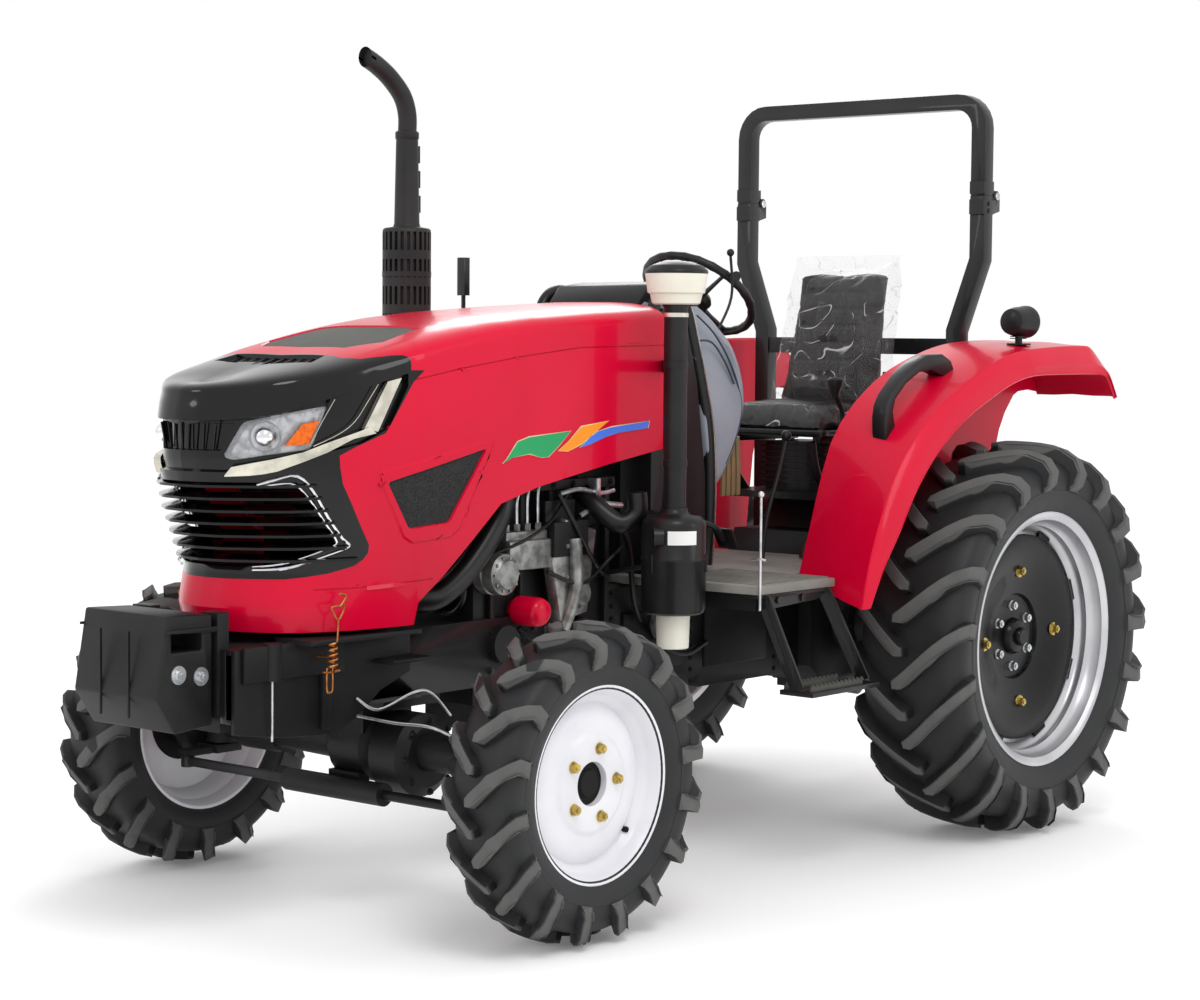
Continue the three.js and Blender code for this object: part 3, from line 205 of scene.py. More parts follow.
sky = bpy.data.worlds.new("studio_sky")
sky.use_nodes = True
backdrop = sky.node_tree.nodes["Background"]
backdrop.inputs["Color"].default_value = (1, 1, 1, 1)
backdrop.inputs["Strength"].default_value = 1.0
bpy.context.scene.world = sky
bpy.context.scene.view_settings.view_transform = "Standard"
LAMPS = (
    ("key", (4.0, -3.0, 6.5), 3.0, 150),
    ("left_fill", (7.0, 3.0, 3.4), 2.4, 50),
    ("front_fill", (-3.0, -7.0, 4.5), 2.0, 45),
    ("rear_rim", (-4.5, 5.5, 5.0), 3.0, 110),
)
for name, place, size, power in LAMPS:
    lamp_data = bpy.data.lights.new(name + "_lamp", "AREA")
    lamp_data.shape = "DISK"
    lamp_data.size = size
    lamp_data.energy = power
    lamp = bpy.data.objects.new(name + "_lamp", lamp_data)
    aim = (Vector((0, -0.3, 0.9)) - Vector(place)).to_track_quat("-Z", "Y")
    lamp.matrix_world = Matrix.Translation(place) @ aim.to_matrix().to_4x4()
    bpy.context.scene.collection.objects.link(lamp)

# ---- Tyres ----
# Black rubber casings with pairs of bent bars that lock into soil, the bars' inner ends
# leading. Each casing and its bars are moulded in one.
REAR_AXLE = sum(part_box("rear_tyre_left"), Vector()) / 2
FRONT_AXLE = sum(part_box("front_tyre_left"), Vector()) / 2
SIDES = {"left": 1, "right": -1}


def at(x, y, z):
    """A point given from the ground under the rear axle."""
    return Vector((x, REAR_AXLE.y + y, z))


def made(mesh, name, body, finish, nodes=(), slot=None, sharp=40):
    """Turns a finished bmesh into a named piece that rides on a body."""
    bmesh.ops.remove_doubles(mesh, verts=mesh.verts, dist=1e-5)
    bmesh.ops.recalc_face_normals(mesh, faces=mesh.faces)
    limit = math.radians(sharp)
    for face in mesh.faces:
        face.smooth = True
    for edge in mesh.edges:
        edge.smooth = len(edge.link_faces) == 2 and edge.calc_face_angle(0) < limit
    data = bpy.data.meshes.new(name)
    mesh.to_mesh(data)
    mesh.free()
    data.materials.append(finish)
    piece = bpy.data.objects.new(name, data)
    bpy.context.scene.collection.objects.link(piece)
    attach(piece, body)
    if nodes:
        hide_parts(*nodes)
    return piece


def chain(mesh, points, closed=False):
    """Vertices at the points, joined in a row by edges."""
    verts = [mesh.verts.new(p) for p in points]
    edges = [mesh.edges.new(pair) for pair in zip(verts, verts[1:])]
    if closed:
        edges.append(mesh.edges.new((verts[-1], verts[0])))
    return verts, edges


def spun(mesh, profile, centre, axis="x", steps=64, turn=math.tau):
    """Adds a profile of (along, radius) points, spun round an axis through the centre."""
    along = {"x": Vector((1, 0, 0)), "y": Vector((0, 1, 0)), "z": Vector((0, 0, 1))}[axis]
    out = Vector((0, 0, 1)) if axis != "z" else Vector((0, 1, 0))
    centre = Vector(centre)
    verts, edges = chain(mesh, [centre + along * a + out * max(r, 0) for a, r in profile])
    bmesh.ops.spin(
        mesh,
        geom=verts + edges,
        cent=centre,
        axis=along,
        angle=turn,
        steps=steps,
        use_merge=abs(turn - math.tau) < 1e-6,
    )


def flip_side(mesh):
    """Turns a left piece into its mirror image on the right."""
    bmesh.ops.scale(mesh, verts=mesh.verts, vec=(-1, 1, 1))
    bmesh.ops.reverse_faces(mesh, faces=mesh.faces)


def sided(mesh, sign, name, body, finish, nodes=(), slot=None, sharp=40):
    """Makes a piece of a left-hand mesh, mirrored first where it goes on the right."""
    if sign < 0:
        flip_side(mesh)
    return made(mesh, name, body, finish, nodes, slot, sharp)


def smooth_line(points, steps):
    """A rounded line through the points, with so many steps between each pair."""
    line = []
    for i in range(len(points) - 1):
        p0, p1, p2, p3 = (Vector(points[min(max(i + k, 0), len(points) - 1)]) for k in (-1, 0, 1, 2))
        for j in range(steps):
            t = j / steps
            line.append(
                0.5
                * (
                    2 * p1
                    + (p2 - p0) * t
                    + (2 * p0 - 5 * p1 + 4 * p2 - p3) * t * t
                    + (3 * p1 - p0 - 3 * p2 + p3) * t**3
                )
            )
    return line + [Vector(points[-1])]


rubber = Finish("tyre_rubber")
proud = rubber.node("ShaderNodeAttribute", {"attribute_name": "proud"}, out="Fac")
dust = rubber.noise(14, 5, 0.6)
fine = rubber.noise(900, 2)
tyre_colour = rubber.mix(dust * 0.7, rgb(0.115, 0.118, 0.125), rgb(0.165, 0.167, 0.172))
rubber.close(
    height=fine,
    depth=0.0004,
    strength=0.5,
    Base_Color=rubber.mix(proud.rise(0.7, 1.0) * (dust * 0.5 + 0.55), tyre_colour, rgb(0.37, 0.37, 0.365)),
    Roughness=proud.rise(0.5, 1.0) * 0.22 + dust * 0.2 + 0.40,
    Specular_IOR_Level=0.3,
)

# Radius over the bars, casing radius, half width, rim radius, bars on a side, a bar's lead in
# radians and its half width.
TYRES = {
    "front": (FRONT_AXLE, 0.419, 0.388, 0.1025, 0.261, 16, 0.26, 0.021),
    "rear": (REAR_AXLE, 0.624, 0.582, 0.1855, 0.406, 19, 0.30, 0.025),
}


def tyre_bar(line, lengths, top, crown, half, lead, bar_half):
    """One bar on the tyre's left half, as mesh data round the world's x axis."""
    bar = bmesh.new()
    layer = bar.verts.layers.float.new("proud")
    bmesh.ops.create_cube(bar, size=1)
    long_edges = [e for e in bar.edges if abs(e.verts[0].co.x - e.verts[1].co.x) > 0.5]
    bmesh.ops.subdivide_edges(bar, edges=long_edges, cuts=9, use_grid_fill=True)
    tread = half * 1.02
    for vert in bar.verts:
        u, v, w = vert.co.x + 0.5, vert.co.y * 2, vert.co.z + 0.5
        reach = u * (lengths[-1] + 0.1 * tread) - 0.1 * tread
        spot = min(max(reach, 0), lengths[-1] * 0.9999)
        i = min(max(n for n in range(len(lengths)) if lengths[n] <= spot), len(line) - 2)
        base = line[i].lerp(line[i + 1], (spot - lengths[i]) / (lengths[i + 1] - lengths[i]))
        run = (line[i + 1] - line[i]).normalized()
        out = Vector((-run.y, run.x, 0))
        share = max(0.0, min(1.0, reach / tread))
        over = max(0.0, (reach - tread) / (lengths[-1] - tread))
        tall = (top - crown) * (1 - 0.72 * min(1.0, over * 1.15)) * (1 - 0.12 * share**3)
        width = bar_half * (1.22 - 0.34 * w) * (1 + 0.25 * over)
        width *= 1 - 0.5 * max(0.0, 1 - u / 0.08) ** 2
        angle = v * width / crown - lead * (0.8 * share + 0.2 * share**2)
        lift = base + Vector((min(reach, 0), 0, 0)) + out * (tall * w - 0.006 * (1 - w))
        vert.co = (lift.x, lift.y * math.cos(angle), lift.y * math.sin(angle))
        vert[layer] = w
    bmesh.ops.bevel(
        bar,
        geom=[e for e in bar.edges if all(v[layer] > 0.9 for v in e.verts) and e.calc_face_angle(0) > 1],
        offset=0.004,
        segments=2,
        profile=0.5,
        affect="EDGES",
        material=-1,
    )
    data = bpy.data.meshes.new("tyre_bar")
    bar.to_mesh(data)
    bar.free()
    return data


def tyre_mesh(centre, top, crown, half, rim, bars, lead, bar_half):
    """A casing open towards the rim, with its bars in two staggered rows."""
    mesh = bmesh.new()
    layer = mesh.verts.layers.float.new("proud")
    wall = crown - rim
    outer = [
        (0, crown),
        (half * 0.35, crown - 0.002),
        (half * 0.66, crown - wall * 0.04),
        (half * 0.86, crown - wall * 0.12),
        (half * 0.97, crown - wall * 0.26),
        (half, crown - wall * 0.42),
        (half * 0.985, rim + wall * 0.42),
        (half * 0.99, rim + wall * 0.395),
        (half * 0.975, rim + wall * 0.38),
        (half * 0.95, rim + wall * 0.24),
        (half * 0.88, rim + wall * 0.08),
        (half * 0.84, rim + wall * 0.02),
        (half * 0.80, rim - 0.012),
    ]
    inner = [(half * 0.72, rim - 0.013), (half * 0.62, crown - wall * 0.6), (half * 0.3, crown - 0.03)]
    ring = smooth_line([(x, r, 0) for x, r in outer], 3) + [Vector((x, r, 0)) for x, r in inner]
    profile = [(-p.x, p.y) for p in reversed(ring)] + [(p.x, p.y) for p in ring[1:]]
    spun(mesh, profile + [(-inner[-1][0], inner[-1][1])], (0, 0, 0), steps=96)
    line = smooth_line([(x, r, 0) for x, r in outer[:8]], 6)
    lengths = [0.0]
    for a, b in zip(line, line[1:]):
        lengths.append(lengths[-1] + (b - a).length)
    data = tyre_bar(line, lengths, top, crown, half, lead, bar_half)
    for row in (0, 1):
        for k in range(bars):
            first = len(mesh.verts)
            mesh.from_mesh(data)
            mesh.verts.ensure_lookup_table()
            new = mesh.verts[first:]
            if row:
                bmesh.ops.scale(mesh, verts=new, vec=(-1, 1, 1))
                faces = {f for v in new for f in v.link_faces}
                bmesh.ops.reverse_faces(mesh, faces=list(faces))
            turn = Matrix.Rotation(math.tau * (k + row / 2) / bars, 3, "X")
            bmesh.ops.rotate(mesh, verts=new, cent=(0, 0, 0), matrix=turn)
    bpy.data.meshes.remove(data)
    bmesh.ops.translate(mesh, verts=mesh.verts, vec=centre)
    return mesh


for which, (axle, *sizes) in TYRES.items():
    for side, sign in SIDES.items():
        node = f"{which}_tyre_{side}"
        body = f"{which}_wheel_{side}"
        mesh = tyre_mesh(axle, *sizes)
        sided(mesh, sign, f"barred_{node}", body, rubber.material, [node], "tyre_rubber", sharp=28)

# ---- Wheels ----
# Pressed steel: white front wheels with five gold-plated nuts, and silver rear rims that
# carry black dished discs with gold bolts.


def paint(
    name, colour, second, rough, metal=0.0, coat=0.0, grain=0.0003, scale=260.0, patch=5.0, shine=0.25
):
    """Paint or plating: slow changes of colour, a fine grain and specks of dust."""
    look = Finish(name)
    slow, grit = look.noise(patch, 4), look.noise(scale, 3, 0.6)
    look.close(
        height=grit,
        depth=grain,
        strength=0.4,
        Base_Color=look.mix(slow.rise(0.35, 0.7), colour, second),
        Roughness=slow * 0.12 + grit * 0.06 + (rough - 0.09),
        Metallic=metal,
        Coat_Weight=coat,
        Coat_Roughness=0.05,
        Specular_IOR_Level=shine,
    )
    return look.material


white_paint = paint("wheel_white", rgb(0.87, 0.87, 0.885), rgb(0.83, 0.83, 0.85), 0.32, coat=0.2)
silver_paint = paint("wheel_silver", rgb(0.78, 0.78, 0.79), rgb(0.70, 0.70, 0.72), 0.34, 0.75)
disc_black = paint(
    "disc_black", rgb(0.03, 0.03, 0.035), rgb(0.06, 0.06, 0.065), 0.28, coat=0.12, shine=0.15
)
gold_zinc = paint("gold_zinc", rgb(0.80, 0.70, 0.38), rgb(0.62, 0.55, 0.36), 0.34, 0.9, patch=60)
zinc = paint("bright_zinc", rgb(0.84, 0.85, 0.86), rgb(0.70, 0.71, 0.72), 0.3, 0.95, patch=40)
hole_black = paint("hole_black", rgb(0.03, 0.03, 0.03), rgb(0.05, 0.05, 0.05), 0.7)


def hex_bolt(mesh, place, axis, across, tall, washer=1.5, shank=0.0):
    """A hexagon head on a washer, with the stud's end standing out of it."""
    turn = Vector(axis).normalized().to_track_quat("Z", "Y").to_matrix().to_4x4()
    for sides, radius, low, high in (
        (20, across * 0.5 * washer, 0, tall * 0.22),
        (6, across * 0.577, tall * 0.2, tall),
        (12, across * 0.3, tall * 0.9, tall + shank + tall * 0.25),
    ):
        bmesh.ops.create_cone(
            mesh,
            cap_ends=True,
            segments=sides,
            radius1=radius,
            radius2=radius * 0.94,
            depth=high - low,
            matrix=Matrix.Translation(place) @ turn @ Matrix.Translation((0, 0, (low + high) / 2)),
        )


FRONT_RIM = (
    (-0.083, 0.247), (-0.084, 0.259), (-0.080, 0.262), (-0.076, 0.258), (-0.072, 0.248),
    (-0.040, 0.240), (-0.030, 0.226), (0.030, 0.226), (0.040, 0.240), (0.072, 0.247),
    (0.076, 0.258), (0.080, 0.2625), (0.085, 0.261), (0.0855, 0.2575), (0.081, 0.250),
    (0.074, 0.2435), (0.050, 0.236), (0.040, 0.229), (0.031, 0.219), (0.026, 0.2165),
    (0.024, 0.212), (0.030, 0.206), (0.040, 0.190), (0.0455, 0.165), (0.0465, 0.142),
    (0.0475, 0.134), (0.0525, 0.127), (0.054, 0.120), (0.054, 0.062), (0.052, 0.058),
    (0.030, 0.057), (0.030, 0.120), (0.020, 0.205), (-0.030, 0.218), (-0.040, 0.232),
    (-0.074, 0.240),
)
REAR_RIM = (
    (-0.1555, 0.384), (-0.157, 0.403), (-0.151, 0.407), (-0.146, 0.402), (-0.142, 0.385),
    (-0.090, 0.378), (-0.070, 0.350), (0.040, 0.350), (0.062, 0.378), (0.142, 0.385),
    (0.146, 0.402), (0.151, 0.4075), (0.1565, 0.406), (0.1575, 0.401), (0.154, 0.392),
    (0.146, 0.380), (0.120, 0.375), (0.108, 0.368), (0.100, 0.360), (0.092, 0.364),
    (0.082, 0.366), (0.070, 0.360), (0.060, 0.345), (0.050, 0.340), (-0.060, 0.340),
    (-0.080, 0.368), (-0.146, 0.376),
)
REAR_DISC = (
    (0.060, 0.330), (0.074, 0.328), (0.078, 0.318), (0.079, 0.300), (0.076, 0.270),
    (0.066, 0.225), (0.052, 0.180), (0.046, 0.150), (0.044, 0.138), (0.030, 0.132),
    (0.028, 0.126), (0.034, 0.060), (0.048, 0.056), (0.056, 0.050), (0.060, 0.030),
    (0.074, 0.028), (0.078, 0.024), (0.078, 0.0),
)


def ring_of(place, radius, count, first=0.0):
    """Points round a wheel's face."""
    for k in range(count):
        angle = math.radians(first) + math.tau * k / count
        yield place + Vector((0, radius * math.cos(angle), radius * math.sin(angle)))


FRONT_HUB = (
    (-0.03, 0.0), (-0.03, 0.075), (0.024, 0.078), (0.024, 0.115), (0.029, 0.12), (0.0315, 0.10),
    (0.0335, 0.057), (0.036, 0.04), (0.044, 0.034), (0.044, 0.0),
)
VALVE = ((-0.01, 0.0), (-0.01, 0.008), (0.012, 0.008), (0.012, 0.004), (0.02, 0.0))
DISC_BACK = ((-0.17, 0.0), (-0.17, 0.10), (0.02, 0.12), (0.05, 0.26), (0.058, 0.31))
for side, sign in SIDES.items():
    body = f"front_wheel_{side}"
    mesh = bmesh.new()
    spun(mesh, FRONT_RIM + FRONT_RIM[:1], FRONT_AXLE, steps=72)
    sided(mesh, sign, f"pressed_rim_{side}", body, white_paint, [f"front_rim_{side}"], "white_steel")
    mesh = bmesh.new()
    spun(mesh, FRONT_HUB, FRONT_AXLE, steps=40)
    for spot in ring_of(FRONT_AXLE + Vector((0.026, 0.0, 0.0)), 0.2155, 1, 318):
        spun(mesh, VALVE, spot, steps=12)
    sided(mesh, sign, f"front_hub_{side}", body, hole_black, slot="satin_black")
    mesh = bmesh.new()
    for spot in ring_of(FRONT_AXLE + Vector((0.053, 0, 0)), 0.094, 5, 2):
        hex_bolt(mesh, spot, (1, 0, 0), 0.023, 0.017, 1.45)
    sided(mesh, sign, f"front_wheel_nuts_{side}", body, gold_zinc, slot="bright_rod", sharp=25)

    body = f"rear_wheel_{side}"
    mesh = bmesh.new()
    spun(mesh, REAR_RIM + REAR_RIM[:1], REAR_AXLE, steps=80)
    sided(mesh, sign, f"rolled_rim_{side}", body, silver_paint, [f"rear_rim_{side}"], "silver_steel")
    mesh = bmesh.new()
    spun(mesh, REAR_DISC + DISC_BACK + REAR_DISC[:1], REAR_AXLE, steps=72)
    for spot in ring_of(REAR_AXLE + Vector((0.062, 0, 0)), 0.31, 8, 22):
        bmesh.ops.create_cube(
            mesh,
            size=1,
            matrix=Matrix.Translation(spot)
            @ Matrix.Rotation(math.atan2(spot.z - REAR_AXLE.z, spot.y - REAR_AXLE.y), 4, "X")
            @ Matrix.Diagonal((0.012, 0.075, 0.07, 1)),
        )
    sided(mesh, sign, f"dished_disc_{side}", body, disc_black, [f"rear_disc_{side}"], "satin_black")
    rings = (
        ("wheel_bolts", ring_of(REAR_AXLE + Vector((0.060, 0, 0)), 0.212, 4, 2), 1.9, gold_zinc),
        ("hub_nuts", ring_of(REAR_AXLE + Vector((0.030, 0, 0)), 0.098, 6, 32), 1.4, zinc),
    )
    for name, spots, washer, finish in rings:
        mesh = bmesh.new()
        for spot in spots:
            hex_bolt(mesh, spot, (1, 0, 0), 0.024, 0.018, washer)
        sided(mesh, sign, f"rear_{name}_{side}", body, finish, slot="bright_rod", sharp=25)

# ---- Hood ----
# A pressed steel shell, painted red, with a flat rear edge, shoulders that tighten towards
# the front and a blunt nose. It is swept through stations, then mirrored.
# Each station: half width, distance ahead of the rear axle, lower edge, shoulder, ridge.
HOOD_STATIONS = (
    (0.318, -1.185, 1.245, 1.600, -1.185, 1.678),
    (0.319, -1.450, 1.205, 1.598, -1.450, 1.664),
    (0.320, -1.750, 1.152, 1.582, -1.750, 1.644),
    (0.320, -1.900, 1.112, 1.565, -1.900, 1.629),
    (0.320, -2.010, 1.018, 1.548, -2.010, 1.613),
    (0.318, -2.120, 0.925, 1.527, -2.120, 1.594),
    (0.316, -2.212, 0.860, 1.508, -2.205, 1.576),
    (0.314, -2.228, 0.802, 1.504, -2.220, 1.573),
    (0.306, -2.360, 0.802, 1.480, -2.335, 1.547),
    (0.286, -2.490, 0.802, 1.455, -2.440, 1.516),
    (0.235, -2.640, 0.803, 1.432, -2.550, 1.484),
    (0.165, -2.715, 0.804, 1.422, -2.620, 1.464),
    (0.080, -2.775, 0.806, 1.416, -2.670, 1.452),
    (0.000, -2.790, 0.806, 1.415, -2.690, 1.448),
)
# How far the nose stands out, and the share of the half width, at each height.
NOSE_LINE = (
    (0.806, -2.700), (0.868, -2.716), (0.960, -2.690), (1.130, -2.760), (1.250, -2.790),
    (1.360, -2.790), (1.400, -2.782), (1.430, -2.770), (1.520, -2.720),
)
SIDE_LINE = ((0.80, 0.945), (0.90, 0.955), (1.00, 0.970), (1.20, 0.995), (1.35, 1.0), (1.60, 1.0))


def on_line(line, x):
    """The value of a broken line of (x, value) pairs at x."""
    for (x0, v0), (x1, v1) in zip(line, line[1:]):
        if x <= x1:
            return v0 + (v1 - v0) * max(0.0, (x - x0) / (x1 - x0))
    return line[-1][1]


def hood_station(half, y, low, high, ridge_y, ridge_z, sides=30, roof=18):
    """One station of the hood's left half, from its lower edge up to the ridge."""
    points = []
    for i in range(sides + 1):
        z = low + (high - low) * i / sides
        ahead = y
        if y < -2.2:
            ahead = -2.2 + (y + 2.2) * (on_line(NOSE_LINE, z) + 2.2) / -0.59
        points.append(at(half * on_line(SIDE_LINE, z), ahead, z))
    top = points[-1]
    for i in range(1, roof + 1):
        turn = math.pi / 2 * i / roof
        across = 1 - math.cos(turn) ** 0.62
        rise = math.sin(turn) ** 0.62
        y_now = top.y + (REAR_AXLE.y + ridge_y - top.y) * across
        points.append(Vector((top.x * (1 - across), y_now, top.z + (ridge_z - top.z) * rise)))
    return points


def hood_surface():
    """The hood's left half as one open surface."""
    mesh = bmesh.new()
    rows = []
    for a, b in zip(HOOD_STATIONS, HOOD_STATIONS[1:]):
        steps = max(2, round(abs(a[1] - b[1]) / 0.03), round(abs(a[0] - b[0]) / 0.02))
        i = HOOD_STATIONS.index(a)
        before = HOOD_STATIONS[max(i - 1, 0)]
        after = HOOD_STATIONS[min(i + 2, len(HOOD_STATIONS) - 1)]
        for k in range(steps):
            t = k / steps
            soft = []
            for p0, p1, p2, p3 in zip(before, a, b, after):
                straight = p1 + (p2 - p1) * t
                curve = 0.5 * (
                    2 * p1 + (p2 - p0) * t + (2 * p0 - 5 * p1 + 4 * p2 - p3) * t**2
                    + (3 * p1 - p0 - 3 * p2 + p3) * t**3
                )
                soft.append(curve if a[1] < -2.22 else straight)
            soft[2] = a[2] + (b[2] - a[2]) * t
            rows.append(hood_station(*soft))
    rows.append(hood_station(*HOOD_STATIONS[-1]))
    grid = [[mesh.verts.new(p) for p in row] for row in rows]
    for left, right in zip(grid, grid[1:]):
        for a, b, c, d in zip(left, left[1:], right[1:], right):
            mesh.faces.new((a, b, c, d))
    bmesh.ops.remove_doubles(mesh, verts=mesh.verts, dist=1e-5)
    bmesh.ops.recalc_face_normals(mesh, faces=mesh.faces)
    outward = sum(f.normal.x * f.calc_area() for f in mesh.faces)
    if outward < 0:
        bmesh.ops.reverse_faces(mesh, faces=mesh.faces)
    return mesh


# ---- Hood cuts ----
# The shell is cut along the lines where the mask, the panels and the grooves meet it. The
# cut-out parts become pieces of their own, and the rest is pressed a few millimetres.


def knife(mesh, points, toward, pick, closed=True):
    """Cuts the picked faces along a line of points, each cut running towards a direction."""
    toward = Vector(toward)
    ends = list(zip(points, points[1:] + points[:1])) if closed else list(zip(points, points[1:]))
    for a, b in ends:
        low = [min(p, q) - 0.03 for p, q in zip(a, b)]
        high = [max(p, q) + 0.03 for p, q in zip(a, b)]
        faces = []
        for face in mesh.faces:
            if not pick(face):
                continue
            near = True
            for i in range(3):
                if abs(toward[i]) > 0.9:
                    continue
                side = [v.co[i] for v in face.verts]
                near = near and max(side) > low[i] and min(side) < high[i]
            if near:
                faces.append(face)
        geom = faces + list({e for f in faces for e in f.edges}) + list({v for f in faces for v in f.verts})
        normal = (b - a).cross(toward)
        if geom and normal.length > 1e-9:
            bmesh.ops.bisect_plane(mesh, geom=geom, dist=1e-6, plane_co=a, plane_no=normal)


def inside(point, outline, toward):
    """Whether a point lies in a closed outline seen along a direction."""
    turn = Vector(toward).to_track_quat("Z", "Y").inverted()
    flat = [turn @ p for p in outline]
    spot = turn @ point
    hit = False
    for a, b in zip(flat, flat[1:] + flat[:1]):
        if (a.y > spot.y) != (b.y > spot.y):
            if spot.x < (b.x - a.x) * (spot.y - a.y) / (b.y - a.y) + a.x:
                hit = not hit
    return hit


def patch(mesh, outline, toward, pick):
    """Cuts an outline into a surface and gives the faces within it."""
    knife(mesh, outline, toward, pick)
    return [f for f in mesh.faces if pick(f) and inside(f.calc_center_median(), outline, toward)]


def taken(mesh, faces):
    """Moves the faces out of a mesh into one of their own."""
    out = bmesh.new()
    copies = {}
    for face in faces:
        corners = []
        for vert in face.verts:
            if vert not in copies:
                copies[vert] = out.verts.new(vert.co)
            corners.append(copies[vert])
        out.faces.new(corners)
    out.normal_update()
    bmesh.ops.delete(mesh, geom=faces, context="FACES")
    return out


def both_sides(mesh):
    """Adds the mirror image of a left half and joins the two on the middle plane."""
    copy = bmesh.ops.duplicate(mesh, geom=mesh.verts[:] + mesh.edges[:] + mesh.faces[:])["geom"]
    verts = [g for g in copy if isinstance(g, bmesh.types.BMVert)]
    faces = [g for g in copy if isinstance(g, bmesh.types.BMFace)]
    bmesh.ops.scale(mesh, verts=verts, vec=(-1, 1, 1))
    bmesh.ops.reverse_faces(mesh, faces=faces)
    seam = [v for v in mesh.verts if abs(v.co.x) < 0.0005]
    bmesh.ops.remove_doubles(mesh, verts=seam, dist=0.0005)
    return mesh


def thick(mesh, wall):
    """Gives an open surface a wall behind it."""
    bmesh.ops.dissolve_degenerate(mesh, dist=1e-5, edges=mesh.edges[:])
    mesh.normal_update()
    inward = {v.co.to_tuple(6): v.normal * -wall for v in mesh.verts}
    moved = bmesh.ops.extrude_face_region(mesh, geom=mesh.faces[:], use_keep_orig=True)["geom"]
    for vert in moved:
        if isinstance(vert, bmesh.types.BMVert):
            vert.co += inward[vert.co.to_tuple(6)]
    return mesh


def tube(mesh, points, radius, sides=8, flat=1.0, closed=False, up=None):
    """Adds a round bar along a line of points; a flat share below 1 thins it."""
    points = [Vector(p) for p in points]
    rings = []
    normal = None
    count = len(points)
    for i, point in enumerate(points):
        before = points[i - 1] if i or closed else point
        after = points[(i + 1) % count] if i < count - 1 or closed else point
        along = (after - before).normalized()
        if up is not None:
            normal = Vector(up)
        elif normal is None:
            normal = Vector((0, 0, 1)) if abs(along.z) < 0.9 else Vector((0, 1, 0))
        normal = (normal - along * normal.dot(along)).normalized()
        side = along.cross(normal)
        size = radius[i] if isinstance(radius, (list, tuple)) else radius
        ring = []
        for k in range(sides):
            angle = math.tau * (k + 0.5) / sides
            out = side * math.cos(angle) * flat + normal * math.sin(angle)
            ring.append(mesh.verts.new(point + out * size))
        rings.append(ring)
    pairs = list(zip(rings, rings[1:])) + ([(rings[-1], rings[0])] if closed else [])
    for one, two in pairs:
        for k in range(sides):
            mesh.faces.new((one[k], one[(k + 1) % sides], two[(k + 1) % sides], two[k]))
    if not closed:
        mesh.faces.new(rings[0][::-1])
        mesh.faces.new(rings[-1])


def ats(*points):
    """Points given from the ground under the rear axle."""
    return [at(*p) for p in points]


def bent(mesh, points, steps, radius, sides=8, flat=1.0, up=None):
    """Adds a round bar bent smoothly through points given from under the rear axle."""
    tube(mesh, smooth_line(ats(*points), steps), radius, sides, flat=flat, up=up)


X_WAY, Y_WAY, Z_WAY = Vector((1, 0, 0)), Vector((0, 1, 0)), Vector((0, 0, 1))
hood_half = hood_surface()
MASK_SIDE = [
    at(0.31, y, z)
    for y, z in (
        (-2.205, 1.482), (-2.244, 1.450), (-2.322, 1.342), (-2.340, 1.318), (-2.441, 1.283),
        (-2.487, 1.262), (-2.484, 1.230), (-2.475, 1.188), (-2.450, 1.142), (-2.413, 1.072),
        (-2.386, 1.025), (-2.388, 1.005), (-2.402, 0.988), (-2.430, 0.972), (-2.500, 0.955),
        (-2.600, 0.943), (-2.900, 0.940), (-2.900, 1.482),
    )
]
MASK_TOP = [
    at(x, y, 1.5)
    for x, y in (
        (-0.05, -2.427), (0.174, -2.427), (0.235, -2.430), (0.272, -2.400), (0.292, -2.340),
        (0.305, -2.280), (0.325, -2.205), (0.4, -2.205), (0.4, -2.95), (-0.05, -2.95),
    )
]
SPLIT = 1.482
split_line = ats((0.3, -2.9, SPLIT), (0.3, -2.15, SPLIT))
knife(hood_half, split_line, X_WAY, lambda face: True, closed=False)


def below(face):
    return face.calc_center_median().z < SPLIT


def above(face):
    return face.calc_center_median().z > SPLIT


mask_faces = patch(hood_half, MASK_SIDE, X_WAY, below)
mask_faces += patch(hood_half, MASK_TOP, Z_WAY, above)
mask_half = taken(hood_half, mask_faces)

red = Finish("hood_red")
slow, flakes = red.noise(3, 3), red.noise(2200, 1)
red.close(
    height=slow,
    depth=0.0006,
    strength=0.25,
    Base_Color=red.mix(slow.rise(0.3, 0.7) * 0.5, rgb(0.80, 0.005, 0.185), rgb(0.745, 0.0, 0.155)),
    Roughness=slow * 0.08 + flakes * 0.05 + 0.22,
    Coat_Weight=0.2,
    Specular_IOR_Level=0.12,
    Coat_Roughness=0.04,
)
black = Finish("mask_black")
slow = black.noise(6, 3)
black.close(
    height=slow,
    depth=0.0004,
    strength=0.3,
    Base_Color=black.mix(slow, rgb(0.02, 0.02, 0.025), rgb(0.05, 0.05, 0.055)),
    Roughness=slow * 0.06 + 0.08,
    Specular_IOR_Level=0.18,
    Coat_Weight=0.3,
    Coat_Roughness=0.03,
)
matte_grey = paint("matte_grey", rgb(0.27, 0.27, 0.255), rgb(0.31, 0.31, 0.29), 0.62, grain=0.0006)
trim_silver = paint("trim_silver", rgb(0.86, 0.84, 0.78), rgb(0.72, 0.71, 0.66), 0.22, 0.9, patch=20)
chrome = paint("chrome", rgb(0.92, 0.92, 0.93), rgb(0.84, 0.84, 0.86), 0.12, 1.0, shine=0.5)
soft_black = paint("soft_black", rgb(0.07, 0.07, 0.075), rgb(0.11, 0.11, 0.115), 0.42, coat=0.1)


def pressed(mesh, outline, toward, pick, edge, depth):
    """Presses an outline into or out of a surface and gives its middle faces."""
    faces = patch(mesh, outline, toward, pick)
    bmesh.ops.inset_region(mesh, faces=faces, thickness=edge, depth=depth)
    return faces


